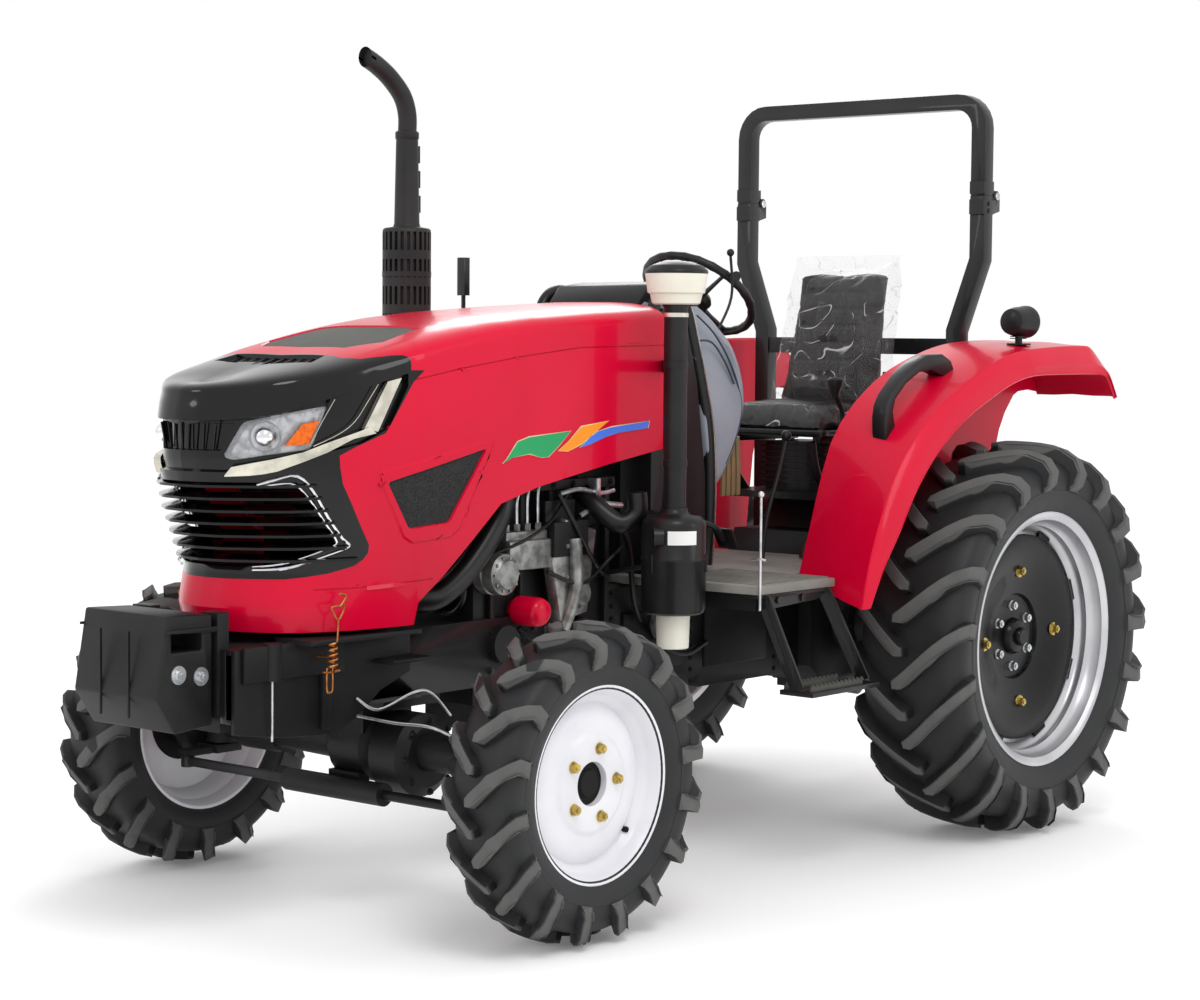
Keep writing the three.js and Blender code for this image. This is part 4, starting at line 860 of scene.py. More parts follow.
def rounded(points, radius, steps=4):
    """An outline with its corners rounded off."""
    out = []
    for i, point in enumerate(points):
        before, after = points[i - 1], points[(i + 1) % len(points)]
        back = (before - point).normalized() * min(radius, (before - point).length * 0.45)
        on = (after - point).normalized() * min(radius, (after - point).length * 0.45)
        for k in range(steps + 1):
            t = k / steps
            out.append(point + back * (1 - t) ** 2 + on * t**2)
    return out


def on_side(face):
    return face.normal.x > 0.55 and face.calc_center_median().x > 0.2


# The side's raised border with its dark perforated panel, and the long groove above it.
BORDER = ats((0.32, -2.375, 1.215), (0.32, -1.925, 1.297), (0.32, -2.075, 1.030), (0.32, -2.262, 1.018))
WINDOW = ats((0.32, -2.336, 1.188), (0.32, -1.966, 1.268), (0.32, -2.106, 1.070), (0.32, -2.255, 1.060))
pressed(hood_half, rounded(BORDER, 0.022, 1), X_WAY, on_side, 0.006, 0.004)
window = pressed(hood_half, rounded(WINDOW, 0.014), X_WAY, on_side, 0.002, -0.006)
mesh_panel = taken(hood_half, window)
GROOVE = ((-2.246, 1.456), (-2.066, 1.486), (-1.832, 1.517), (-1.584, 1.542), (-1.190, 1.550))
LIP = ((-2.540, 0.914), (-2.420, 0.914), (-2.160, 0.922))
for line, depth in ((GROOVE, -0.004), (LIP, -0.003)):
    groove = [at(0.32, y, z + 0.002) for y, z in line]
    groove += [at(0.32, y, z - 0.002) for y, z in line[::-1]]
    pressed(hood_half, groove, X_WAY, on_side, 0.0008, depth)


def on_roof(face):
    return face.normal.z > 0.5


PANEL_TOP = ats((-0.05, -2.362, 1.6), (0.168, -2.358, 1.6), (0.222, -2.270, 1.6), (0.196, -2.100, 1.6),
                (0.100, -2.085, 1.6), (-0.05, -2.083, 1.6))
top_panel = pressed(hood_half, PANEL_TOP, Z_WAY, on_roof, 0.003, -0.004)
top_panel = both_sides(taken(hood_half, top_panel))
made(thick(top_panel, 0.006), "hood_top_panel", "hood", matte_grey, slot="satin_black")
whole_hood = thick(both_sides(hood_half), 0.010)
made(whole_hood, "painted_hood", "hood", red.material, ["hood_shell"], "red_paint", sharp=24)
mesh_look = Finish("pressed_mesh")
cells = mesh_look.node(
    "ShaderNodeTexVoronoi", {}, {"Vector": mesh_look.place, "Scale": 260}, out="Distance"
)
# The holes are painted near-black: painted shade standing in for the dark space seen through them. The same
# pattern also presses them in as a bump and roughens them.
holes_and_shade = cells.rise(0.30, 0.42)
mesh_look.close(
    height=holes_and_shade,
    depth=0.001,
    Base_Color=mesh_look.mix(holes_and_shade, rgb(0.01, 0.01, 0.01), rgb(0.16, 0.16, 0.16)),
    Roughness=holes_and_shade * 0.1 + 0.45,
    Specular_IOR_Level=0.2,
)
side_mesh = thick(both_sides(mesh_panel), 0.002)
made(side_mesh, "hood_side_mesh", "hood", mesh_look.material, slot="satin_black")

# ---- Nose mask ----
# A gloss black moulding over the nose: a visor above the lamps, a recessed band that holds
# them, and a wide mouth with seven slats below.


def front_low(face):
    return face.calc_center_median().z < 1.47


BROW = ((-2.95, 1.352), (-2.760, 1.354), (-2.705, 1.360), (-2.638, 1.375), (-2.492, 1.416), (-2.350, 1.452),
        (-2.262, 1.474))
SILL = ((-2.262, 1.440), (-2.330, 1.330), (-2.420, 1.292), (-2.517, 1.273), (-2.583, 1.250), (-2.645, 1.228),
        (-2.727, 1.222), (-2.95, 1.222))
lamp_band = [at(0.31, y, z) for y, z in BROW + SILL]
MOUTH = ((-2.95, 1.196), (-2.602, 1.196), (-2.563, 1.157), (-2.515, 1.091), (-2.486, 1.048), (-2.488, 1.032),
         (-2.546, 1.001), (-2.603, 0.979), (-2.95, 0.966))
mouth = [at(0.31, y, z) for y, z in MOUTH]
taken(mask_half, patch(mask_half, mouth, X_WAY, front_low)).free()
pressed(mask_half, lamp_band, X_WAY, front_low, 0.003, -0.014)
LAMP = ats((0.124, -2.746, 1.262), (0.160, -2.708, 1.350), (0.274, -2.523, 1.392), (0.262, -2.568, 1.281),
           (0.144, -2.731, 1.253))
LAMP_WAY = Vector((0.62, -0.78, 0.05)).normalized()


def in_band(face):
    return face.is_valid and face.normal.dot(LAMP_WAY) > 0.3 and front_low(face)


lens_half = taken(mask_half, patch(mask_half, rounded(LAMP, 0.012), LAMP_WAY, in_band))


def on_front(face):
    return face.normal.y < -0.3 and front_low(face)


SMALL_GRILLE = ats(
    (-0.05, -2.78, 1.348), (0.139, -2.74, 1.348), (0.112, -2.76, 1.276), (-0.05, -2.78, 1.276)
)
pressed(mask_half, SMALL_GRILLE, -Y_WAY, on_front, 0.003, -0.02)
VENTS = ats((-0.05, -2.432, 1.5), (0.172, -2.432, 1.5), (0.190, -2.498, 1.5), (0.110, -2.518, 1.5),
            (-0.05, -2.526, 1.5))
pressed(mask_half, VENTS, Z_WAY, on_roof, 0.003, -0.012)
mask = thick(both_sides(mask_half), 0.008)


def hood_plan(z, count=24, last=-2.46, grow=0.0):
    """The hood's outline at a height, from the left side round the nose to the right."""
    half = []
    for i in range(count + 1):
        t = i / count
        y = last + (-2.79 - last) * math.sin(t * math.pi / 2)
        for a, b in zip(HOOD_STATIONS, HOOD_STATIONS[1:]):
            if b[1] <= y + 1e-9:
                break
        k = (y - a[1]) / (b[1] - a[1])
        wide = a[0] + (b[0] - a[0]) * k if i < count else 0.0
        ahead = -2.2 + (y + 2.2) * (on_line(NOSE_LINE, z) + 2.2) / -0.59
        half.append(Vector((wide * on_line(SIDE_LINE, z), ahead, z)))
    line = half + [Vector((-p.x, p.y, p.z)) for p in half[-2::-1]]
    out = []
    for i, p in enumerate(line):
        run = (line[min(i + 1, len(line) - 1)] - line[max(i - 1, 0)]).normalized()
        out.append(at(*(p + Vector((run.y, -run.x, 0)) * -grow)))
    return out


for k in range(7):
    z = 1.182 - 0.0325 * k
    last = -2.560 + 0.0125 * k + (0.02 if k == 6 else 0)
    outer = hood_plan(z, last=last, grow=0.016)
    inner = hood_plan(z, last=last, grow=-0.030)
    rows = []
    for shift, line in ((0.0, outer), (0.013, inner)):
        for lift in (0.0, 0.0065):
            rows.append([mask.verts.new(p + Vector((0, 0, shift + lift))) for p in line])
    low_out, high_out, low_in, high_in = rows
    for a, b in ((low_out, high_out), (high_out, high_in), (high_in, low_in), (low_in, low_out)):
        for p, q, r, s in zip(a, a[1:], b[1:], b):
            mask.faces.new((p, q, r, s))
    for end in (0, -1):
        mask.faces.new((low_out[end], high_out[end], high_in[end], low_in[end]))
for k in range(-3, 4):
    x = 0.031 * k
    low, high = (x, -2.768 + abs(x) * 0.24, 1.279), (x * 1.14, -2.772 + abs(x) * 0.24, 1.345)
    tube(mask, ats(low, high), 0.0045, 6, flat=0.5, up=(0, -1, 0))
for k in range(-5, 6):
    x = 0.032 * k
    low, high = (x, -2.528 + abs(x) * 0.12, 1.470), (x * 0.94, -2.436, 1.502)
    tube(mask, ats(low, high), 0.0045, 6, flat=0.45, up=(0, 0, 1))
made(mask, "moulded_mask", "hood", black.material, ["nose_mask", "grille"], "gloss_black", sharp=24)

# ---- Nose trim and lamps ----
# Plated strips under and beside the lamps and round the mouth, and clear lamps with a
# projector and an amber marker in a silvered bowl.
trim = bmesh.new()


def ribbon(mesh, upper, lower, way, out=0.006, back=0.012):
    """A solid strip between two lines of points, standing out along a direction."""
    way = Vector(way)
    rows = []
    for line in (upper, lower):
        for shift in (out, -back):
            rows.append([mesh.verts.new(p + way * shift) for p in line])
    up_out, up_in, low_out, low_in = rows
    for a, b in ((up_in, up_out), (up_out, low_out), (low_out, low_in), (low_in, up_in)):
        for p, q, r, s in zip(a, a[1:], b[1:], b):
            mesh.faces.new((p, q, r, s))
    for end in (0, -1):
        mesh.faces.new((up_in[end], up_out[end], low_out[end], low_in[end]))


UNDER_LAMP = (
    (
        (0.129, -2.742, 1.214), (0.147, -2.735, 1.236), (0.190, -2.700, 1.247), (0.223, -2.664, 1.256),
        (0.258, -2.590, 1.273), (0.276, -2.530, 1.294), (0.298, -2.424, 1.325), (0.303, -2.395, 1.335),
    ),
    (
        (0.129, -2.742, 1.211), (0.178, -2.704, 1.214), (0.205, -2.680, 1.218), (0.228, -2.652, 1.225),
        (0.258, -2.590, 1.248), (0.278, -2.524, 1.271), (0.295, -2.446, 1.305), (0.304, -2.372, 1.318),
    ),
)
BEHIND_LAMP = (
    ((0.309, -2.335, 1.453), (0.300, -2.412, 1.330)),
    ((0.313, -2.288, 1.462), (0.306, -2.368, 1.322)),
)
for sign in (1, -1):
    turn = Matrix.Diagonal((sign, 1, 1))
    upper, lower = ([turn @ p for p in ats(*line)] for line in UNDER_LAMP)
    ribbon(trim, upper, lower, turn @ Vector((0.75, -0.66, 0)))
    upper, lower = ([turn @ p for p in ats(*line)] for line in BEHIND_LAMP)
    ribbon(trim, upper, lower, turn @ X_WAY, out=0.0, back=0.012)
made(trim, "lamp_trim", "hood", trim_silver, slot="silver_steel")

chevron = bmesh.new()
for sign in (1, -1):
    turn = Matrix.Diagonal((sign, 1, 1))
    for line, radius in (
        (((0.192, -2.688, 1.190), (0.225, -2.655, 1.203), (0.251, -2.603, 1.212), (0.264, -2.560, 1.172),
          (0.272, -2.513, 1.100), (0.279, -2.470, 1.046), (0.283, -2.448, 1.024), (0.262, -2.505, 1.003),
          (0.232, -2.570, 0.982), (0.195, -2.620, 0.969), (0.139, -2.656, 0.966)), 0.0042),
        (((0.196, -2.683, 1.184), (0.229, -2.648, 1.192), (0.247, -2.608, 1.190), (0.258, -2.569, 1.153),
          (0.267, -2.519, 1.087), (0.273, -2.488, 1.044), (0.269, -2.492, 1.028), (0.244, -2.554, 1.004),
          (0.199, -2.612, 0.983), (0.141, -2.657, 0.975)), 0.0030),
    ):
        points = [turn @ p for p in smooth_line(ats(*line), 3)]
        tube(chevron, points, radius, 8)
made(chevron, "mouth_chevron", "hood", chrome, slot="bright_rod")

edging = bmesh.new()
for sign in (1, -1):
    turn = Matrix.Diagonal((sign, 1, 1))
    for line in (
        ((0.281, -2.500, 1.408), (0.270, -2.535, 1.350), (0.262, -2.572, 1.288)),
        ((0.265, -2.560, 1.288), (0.285, -2.490, 1.318), (0.293, -2.440, 1.350), (0.299, -2.400, 1.400),
         (0.303, -2.365, 1.446)),
    ):
        tube(edging, [turn @ p for p in smooth_line(ats(*line), 4)], 0.0014, 6)
made(edging, "mask_edging", "hood", trim_silver, slot="silver_steel")

glass = Finish("lamp_glass")
ripple = glass.noise(120, 2)
glass.close(
    height=ripple,
    depth=0.0003,
    strength=0.2,
    Base_Color=glass.mix(ripple, rgb(0.97, 0.97, 0.98), rgb(0.92, 0.93, 0.95)),
    Roughness=ripple * 0.04 + 0.02,
    Alpha=ripple * 0.04 + 0.10,
)
bowl_silver = paint("lamp_bowl", rgb(0.74, 0.75, 0.76), rgb(0.30, 0.31, 0.33), 0.2, 0.9, patch=45)
amber = paint("lamp_amber", rgb(0.90, 0.42, 0.08), rgb(0.78, 0.32, 0.06), 0.3, patch=90)
for side, sign in SIDES.items():
    bowl = lens_half.copy()
    bmesh.ops.translate(bowl, verts=bowl.verts, vec=-LAMP_WAY * 0.003)
    bowl.normal_update()
    rim_edges = [e for e in bowl.edges if len(e.link_faces) == 1]
    bmesh.ops.delete(bowl, geom=bowl.faces[:], context="FACES_ONLY")
    rim_edges = [e for e in rim_edges if e.is_valid]
    bmesh.ops.delete(bowl, geom=[e for e in bowl.edges if e not in rim_edges], context="EDGES")
    walls = bmesh.ops.extrude_edge_only(bowl, edges=bowl.edges[:])["geom"]
    deep = [g for g in walls if isinstance(g, bmesh.types.BMVert)]
    bmesh.ops.translate(bowl, verts=deep, vec=-LAMP_WAY * 0.030)
    middle = sum((v.co for v in deep), Vector()) / len(deep)
    bmesh.ops.scale(bowl, verts=deep, vec=(0.9, 0.9, 0.9), space=Matrix.Translation(-middle))
    inner = [g for g in walls if isinstance(g, bmesh.types.BMEdge)]
    bmesh.ops.edgeloop_fill(bowl, edges=inner)
    spot = at(0.197, -2.668, 1.313)
    turn = LAMP_WAY.to_track_quat("Z", "Y").to_matrix().to_4x4()
    for radius, depth, shift in ((0.040, 0.016, -0.022), (0.032, 0.022, -0.017)):
        bmesh.ops.create_cone(bowl, cap_ends=True, segments=28, radius1=radius, radius2=radius * 0.92,
                              depth=depth, matrix=Matrix.Translation(spot + LAMP_WAY * shift) @ turn)
    ball = bmesh.new()
    bmesh.ops.create_uvsphere(ball, u_segments=24, v_segments=12, radius=0.026,
                              matrix=Matrix.Translation(spot - LAMP_WAY * 0.004) @ turn)
    marker = bmesh.new()
    upper = ats((0.252, -2.588, 1.345), (0.268, -2.545, 1.354))
    lower = ats((0.236, -2.634, 1.289), (0.259, -2.572, 1.294))
    ribbon(marker, upper, lower, LAMP_WAY, out=-0.006, back=0.018)
    lens = thick(lens_half.copy(), 0.0025)
    node = f"headlamp_{side}"
    sided(lens, sign, f"lamp_lens_{side}", "hood", glass.material, [node], "headlamp_lens")
    sided(bowl, sign, f"lamp_bowl_{side}", "hood", bowl_silver, slot="silver_steel")
    sided(ball, sign, f"lamp_projector_{side}", "hood", chrome, slot="bright_rod")
    sided(marker, sign, f"lamp_marker_{side}", "hood", amber, slot="bright_rod")
lens_half.free()

# ---- Side stripes ----
# Three swept shapes of printed film, green, orange and blue, each with a pale edge. They
# are stuck to both sides of the hood, under the long groove.
film_cream = paint("film_cream", rgb(0.86, 0.80, 0.62), rgb(0.80, 0.74, 0.58), 0.35)
STRIPES = (
    ("green", rgb(0.13, 0.60, 0.36), ((-1.905, 1.222), (-1.886, 1.236), (-1.843, 1.283), (-1.794, 1.296),
     (-1.614, 1.307), (-1.664, 1.266), (-1.710, 1.235), (-1.740, 1.234), (-1.793, 1.245), (-1.864, 1.238))),
    ("orange", rgb(0.95, 0.56, 0.10), ((-1.673, 1.251), (-1.627, 1.277), (-1.571, 1.320), (-1.448, 1.332),
     (-1.500, 1.316), (-1.533, 1.299), (-1.570, 1.266), (-1.627, 1.248))),
    ("blue", rgb(0.28, 0.45, 0.86), ((-1.579, 1.257), (-1.533, 1.287), (-1.500, 1.303), (-1.436, 1.316),
     (-1.262, 1.328), (-1.267, 1.307), (-1.406, 1.296), (-1.460, 1.286), (-1.530, 1.266))),
)
for name, colour, outline in STRIPES:
    film = paint(f"film_{name}", colour, tuple(c * 0.92 for c in colour[:3]) + (1.0,), 0.3)
    middle = sum((Vector((0, y, z)) for y, z in outline), Vector()) / len(outline)
    for lift, look, part in ((0.0011, film_cream, "edge"), (0.0019, film, "film")):
        mesh = bmesh.new()
        for sign in (1, -1):
            verts = []
            for y, z in outline:
                spot = Vector((0, y, z))
                if part == "film":
                    spot += (middle - spot).normalized() * 0.0035
                verts.append(mesh.verts.new(at(sign * (0.3193 + lift), spot.y, spot.z)))
            mesh.faces.new(verts)
        bmesh.ops.triangulate(mesh, faces=mesh.faces)
        made(thick(mesh, 0.0008), f"{name}_stripe_{part}", "hood", look, slot="gloss_black")

# ---- Fenders ----
# Pressed sheets over the rear wheels, painted red: a broad top, a crease, a lip that falls
# outwards and a flat inner wall. A moulded hand grip is screwed to each.


def joined(mesh, part):
    """Adds a part's shape to a mesh."""
    data = bpy.data.meshes.new("part")
    part.to_mesh(data)
    part.free()
    mesh.from_mesh(data)
    bpy.data.meshes.remove(data)


def prism(mesh, outline, way, edge=0.0, segments=2):
    """Adds a solid block: an outline pushed along a direction, its rims rounded."""
    part = bmesh.new()
    base = part.faces.new([part.verts.new(p) for p in outline])
    moved = bmesh.ops.extrude_face_region(part, geom=[base], use_keep_orig=True)["geom"]
    far = [g for g in moved if isinstance(g, bmesh.types.BMVert)]
    bmesh.ops.translate(part, verts=far, vec=way)
    bmesh.ops.recalc_face_normals(part, faces=part.faces)
    if edge:
        along = Vector(way).normalized()
        whole = [f for f in part.faces if len(f.verts) == len(outline)]
        caps = [f for f in whole if abs(f.normal.dot(along)) > 0.9]
        rims = list({e for f in caps for e in f.edges})
        bmesh.ops.bevel(part, geom=rims, offset=edge, segments=segments, profile=0.5, affect="EDGES",
                        material=-1, clamp_overlap=True)
    joined(mesh, part)


def block(mesh, low, high, edge=0.0):
    """Adds a box between two corners."""
    (x0, y0, z0), (x1, y1, z1) = low, high
    corners = [Vector((x0, y0, z0)), Vector((x0, y1, z0)), Vector((x0, y1, z1)), Vector((x0, y0, z1))]
    prism(mesh, corners, Vector((x1 - x0, 0, 0)), edge)


def rod(mesh, start, end, radius, sides=16, tip=None):
    """Adds a round bar between two points, narrowing to a tip radius where one is given."""
    start, end = Vector(start), Vector(end)
    run = end - start
    turn = run.to_track_quat("Z", "Y").to_matrix().to_4x4()
    bmesh.ops.create_cone(mesh, cap_ends=True, segments=sides, radius1=radius,
                          radius2=radius if tip is None else tip, depth=run.length,
                          matrix=Matrix.Translation((start + end) / 2) @ turn)


def pair(build, name, body, finish, nodes=(), slot=None, sharp=40):
    """Makes a left piece and its mirror image on the right."""
    for side, sign in SIDES.items():
        mesh = bmesh.new()
        build(mesh)
        swapped = [node.format(side=side) for node in nodes]
        sided(mesh, sign, f"{name}_{side}", body, finish, swapped, slot, sharp)


# Inner edge, crease and lip at each station, as distance ahead of the axle and height.
FENDER_LINE = (
    (-0.765, 0.838, -0.838, 0.772, -0.812, 0.774), (-0.712, 0.980, -0.800, 0.900, -0.745, 0.885),
    (-0.665, 1.110, -0.750, 1.020, -0.662, 0.990), (-0.600, 1.255, -0.672, 1.155, -0.568, 1.119),
    (-0.500, 1.360, -0.550, 1.283, -0.445, 1.235), (-0.350, 1.452, -0.390, 1.387, -0.300, 1.325),
    (-0.190, 1.510, -0.215, 1.466, -0.165, 1.384), (-0.010, 1.552, -0.040, 1.523, -0.020, 1.435),
    (0.150, 1.568, 0.110, 1.543, 0.110, 1.458), (0.320, 1.572, 0.300, 1.553, 0.300, 1.462),
    (0.440, 1.570, 0.430, 1.555, 0.440, 1.462), (0.510, 1.562, 0.490, 1.550, 0.510, 1.461),
    (0.555, 1.520, 0.548, 1.510, 0.562, 1.458), (0.590, 1.470, 0.590, 1.465, 0.594, 1.442),
    (0.640, 1.388, 0.640, 1.388, 0.641, 1.378),
)
inner_line = smooth_line([at(0.500, s[0], s[1]) for s in FENDER_LINE], 5)
crease_line = smooth_line([at(0.792, s[2], s[3]) for s in FENDER_LINE], 5)
lip_line = smooth_line([at(0.805, s[4], s[5]) for s in FENDER_LINE], 5)


def fender_shell(mesh):
    rows = []
    for inner, crease, lip in zip(inner_line, crease_line, lip_line):
        flap = min(1.0, max(0.0, (inner.y - REAR_AXLE.y - 0.50) / 0.06))
        under = inner + Vector((0.0, 0.02, -0.035)) * (1 - 0.9 * flap)
        top = inner.lerp(crease, 0.035)
        crown = inner.lerp(crease, 0.5) + Vector((0, -0.003, 0.004))
        near = crease.lerp(inner, 0.05)
        down = crease.lerp(lip, 0.08)
        fold = min(1.0, max(0.0, (crease.y - REAR_AXLE.y) / 0.12))
        swell = crease.lerp(lip, 0.66) + Vector((0.003 + 0.009 * fold, 0, 0))
        line = [under, inner.lerp(under, 0.35), top, inner.lerp(crease, 0.25), crown,
                inner.lerp(crease, 0.75), near, crease.lerp(near, 0.3).lerp(down, 0.12), down, swell,
                lip.lerp(crease, 0.06), lip]
        rows.append([mesh.verts.new(p) for p in line])
    for a, b in zip(rows, rows[1:]):
        for p, q, r, s in zip(a, a[1:], b[1:], b):
            mesh.faces.new((p, q, r, s))
    bmesh.ops.recalc_face_normals(mesh, faces=mesh.faces)
    if sum(f.normal.z for f in mesh.faces) < 0:
        bmesh.ops.reverse_faces(mesh, faces=mesh.faces)
    thick(mesh, 0.006)
    tube(mesh, [p + Vector((-0.004, 0, 0.003)) for p in lip_line], 0.0055, 8)
    wall = [p + Vector((0.001, 0.004, -0.006)) for p in inner_line[::3]]
    wall += ats((0.501, 0.570, 1.402), (0.501, 0.506, 1.397), (0.501, 0.475, 1.384), (0.501, 0.421, 1.326),
                (0.501, 0.386, 1.268), (0.501, 0.345, 1.150), (0.501, 0.300, 0.800), (0.501, -0.74, 0.800))
    prism(mesh, wall, Vector((0.006, 0, 0)), 0.001, 1)


pair(fender_shell, "pressed_fender", "chassis", red.material, ["fender_{side}"], "red_paint", sharp=32)

GRIP = (
    (-0.580, 1.248), (-0.590, 1.290), (-0.592, 1.335), (-0.585, 1.370), (-0.561, 1.405), (-0.490, 1.463),
    (-0.437, 1.495), (-0.363, 1.524), (-0.275, 1.527), (-0.225, 1.506), (-0.205, 1.474), (-0.240, 1.450),
    (-0.284, 1.462), (-0.334, 1.477), (-0.404, 1.471), (-0.478, 1.436), (-0.535, 1.390), (-0.548, 1.352),
    (-0.535, 1.308), (-0.540, 1.285),
)


def hand_grip(mesh):
    prism(mesh, [at(0.700, y, z) for y, z in GRIP], Vector((-0.050, 0, 0)), 0.004, 2)


pair(hand_grip, "moulded_grip", "chassis", soft_black, ["grab_handle_{side}"], "satin_black")


def work_lamp(mesh):
    shell = (
        (-0.052, 0.0), (-0.052, 0.034), (-0.048, 0.042), (-0.020, 0.048), (0.022, 0.050), (0.030, 0.053),
        (0.046, 0.053), (0.050, 0.047), (0.044, 0.042), (0.040, 0.0),
    )
    spun(mesh, shell, at(0.70, 0.18, 1.632), axis="y", steps=32)
    for z in (1.578, 1.584, 1.590):
        block(mesh, at(0.685, 0.150, z - 0.002), at(0.715, 0.205, z + 0.001), 0.001)
    rod(mesh, at(0.70, 0.18, 1.556), at(0.70, 0.18, 1.60), 0.012)
    block(mesh, at(0.672, 0.150, 1.556), at(0.728, 0.212, 1.562), 0.002)


pair(work_lamp, "work_lamp", "chassis", soft_black, slot="satin_black")

# ---- Console ----
# A blue-grey moulded cover over the steering column with a seam round its side, a black
# rubber seal where the hood meets it, and a folding gaiter below.
console_grey = paint(
    "console_grey", rgb(0.50, 0.52, 0.56), rgb(0.55, 0.57, 0.61), 0.45, grain=0.0005, scale=900
)
seam_dark = paint("seam_dark", rgb(0.19, 0.22, 0.27), rgb(0.24, 0.27, 0.32), 0.6)
CONSOLE_LINE = (
    (-1.150, 1.560), (-1.150, 1.668), (-1.105, 1.718), (-1.010, 1.733), (-0.890, 1.690), (-0.816, 1.640),
    (-0.745, 1.560), (-0.700, 1.490), (-0.676, 1.420), (-0.672, 1.350), (-0.700, 1.270), (-0.752, 1.180),
    (-0.800, 1.120), (-0.845, 1.100), (-0.880, 1.250), (-0.905, 1.400), (-0.950, 1.530), (-1.000, 1.560),
)
mesh = bmesh.new()
layers = []
outline = rounded([Vector((0, y, z)) for y, z in CONSOLE_LINE], 0.03, 3)
centre = Vector((0, -0.86, 1.42))
edges = ((0.236, 0.030), (0.232, 0.014), (0.222, 0.004), (0.20, 0.0))
for x, shrink in edges + tuple((-x, shrink) for x, shrink in edges[::-1]):
    layer = []
    for p in outline:
        roof = max(0.0, p.z - 1.56) / 0.18
        spot = p + (centre - p).normalized() * shrink
        layer.append(mesh.verts.new(at(x * (1 - 0.30 * roof), spot.y, spot.z)))
    layers.append(layer)
for one, two in zip(layers, layers[1:]):
    for k in range(len(one)):
        j = (k + 1) % len(one)
        mesh.faces.new((one[k], one[j], two[j], two[k]))
mesh.faces.new(layers[0])
mesh.faces.new(layers[-1][::-1])
made(mesh, "console_cover", "chassis", console_grey, ["console"], "console_grey", sharp=50)

seam = bmesh.new()
for sign in (1, -1):
    for line in (
        ((-0.930, 1.640), (-0.850, 1.590), (-0.780, 1.520), (-0.728, 1.440), (-0.700, 1.350),
         (-0.728, 1.262), (-0.780, 1.180)),
        ((-0.955, 1.560), (-0.860, 1.560), (-0.790, 1.500), (-0.740, 1.430)),
    ):
        tube(seam, smooth_line([at(sign * 0.2335, y, z) for y, z in line], 5), 0.0032, 6)
made(seam, "console_seams", "chassis", seam_dark, slot="satin_black")

seal = bmesh.new()
SEAL = ((-1.133, 1.560), (-1.133, 1.650), (-1.098, 1.700), (-1.025, 1.714), (-0.978, 1.660), (-0.940, 1.560),
        (-0.900, 1.440), (-0.862, 1.300), (-0.848, 1.150), (-0.850, 1.000), (-0.862, 0.870))
for x in (0.224, -0.224):
    tube(seal, smooth_line([at(x, y, z) for y, z in SEAL], 5), 0.019, 10, up=(1, 0, 0))
BULKHEAD = ((-1.148, 0.860), (-1.148, 1.620), (-1.095, 1.660), (-0.985, 1.640), (-0.925, 1.440),
            (-0.880, 1.150), (-0.875, 0.860))
for x in (0.10, -0.236):
    prism(seal, [at(x, y, z) for y, z in BULKHEAD], Vector((0.136, 0, 0)), 0.008)
block(seal, at(-0.12, -1.150, 0.860), at(0.12, -0.90, 1.56), 0.01)
made(seal, "console_seal", "chassis", soft_black, slot="satin_black")
DASH = ((-1.152, 1.600), (-1.152, 1.676), (-1.108, 1.727), (-1.010, 1.742), (-0.935, 1.716), (-0.960, 1.640))
dash = bmesh.new()
prism(dash, [at(-0.182, y, z) for y, z in DASH], Vector((0.364, 0, 0)), 0.014)
made(dash, "dash_top", "chassis", soft_black, slot="satin_black")
edge_line = bmesh.new()
for x in (0.245, -0.245):
    tube(edge_line, smooth_line([at(x, y + 0.006, z) for y, z in SEAL[3:]], 5), 0.0022, 6)
made(edge_line, "console_edge", "chassis", trim_silver, slot="silver_steel")

tan = paint("gaiter_tan", rgb(0.55, 0.47, 0.34), rgb(0.45, 0.38, 0.27), 0.6, grain=0.0006)
gaiter = bmesh.new()
for k in range(4):
    y = -0.765 + 0.026 * k
    for x in (0.10, -0.10):
        top = (x * 2.15, y - 0.01, 1.245 + 0.006 * k)
        bent(gaiter, (top, (x * 2.1, y + 0.004, 1.17), (x * 1.9, y + 0.03, 1.08)), 4, 0.010, flat=0.7)
made(gaiter, "column_gaiter", "chassis", tan, slot="black_vinyl")

# ---- Steering wheel and levers ----
# A moulded black wheel with three spokes and a domed hub, a throttle lever beside it, a
# black-knobbed gear lever and pedals of painted steel.
WHEEL_MIDDLE = at(0, -0.624, 1.712)
TILT = Matrix.Rotation(math.radians(-40), 3, "X")


def on_wheel(radius, angle, z):
    """A point of the steering wheel, given round its own axis."""
    return WHEEL_MIDDLE + TILT @ Vector((radius * math.cos(angle), radius * math.sin(angle), z))


mesh = bmesh.new()
angles = [math.tau * k / 72 for k in range(72)]
sizes = [0.0138 + 0.0009 * math.cos(angle * 24) for angle in angles]
tube(mesh, [on_wheel(0.184, angle, 0) for angle in angles], sizes, 12, closed=True)
for degrees in (90, 210, 330):
    spoke = ((0.03, -0.030), (0.09, -0.020), (0.150, -0.006), (0.180, 0))
    ends = [on_wheel(radius, math.radians(degrees), z) for radius, z in spoke]
    tube(mesh, ends, [0.016, 0.012, 0.010, 0.010], 10, flat=0.6, up=TILT @ Z_WAY)
HUB_DOME = ((-0.09, 0.0), (-0.09, 0.022), (-0.045, 0.026), (-0.040, 0.045), (-0.020, 0.052), (-0.008, 0.046),
            (0.0, 0.028), (0.003, 0.0))
hub = bmesh.new()
spun(hub, HUB_DOME, (0, 0, 0), axis="z", steps=32)
bmesh.ops.transform(hub, matrix=Matrix.Translation(WHEEL_MIDDLE) @ TILT.to_4x4(), verts=hub.verts)
joined(mesh, hub)
made(mesh, "moulded_wheel", "steering_wheel", soft_black, ["steering_wheel"], "satin_black")

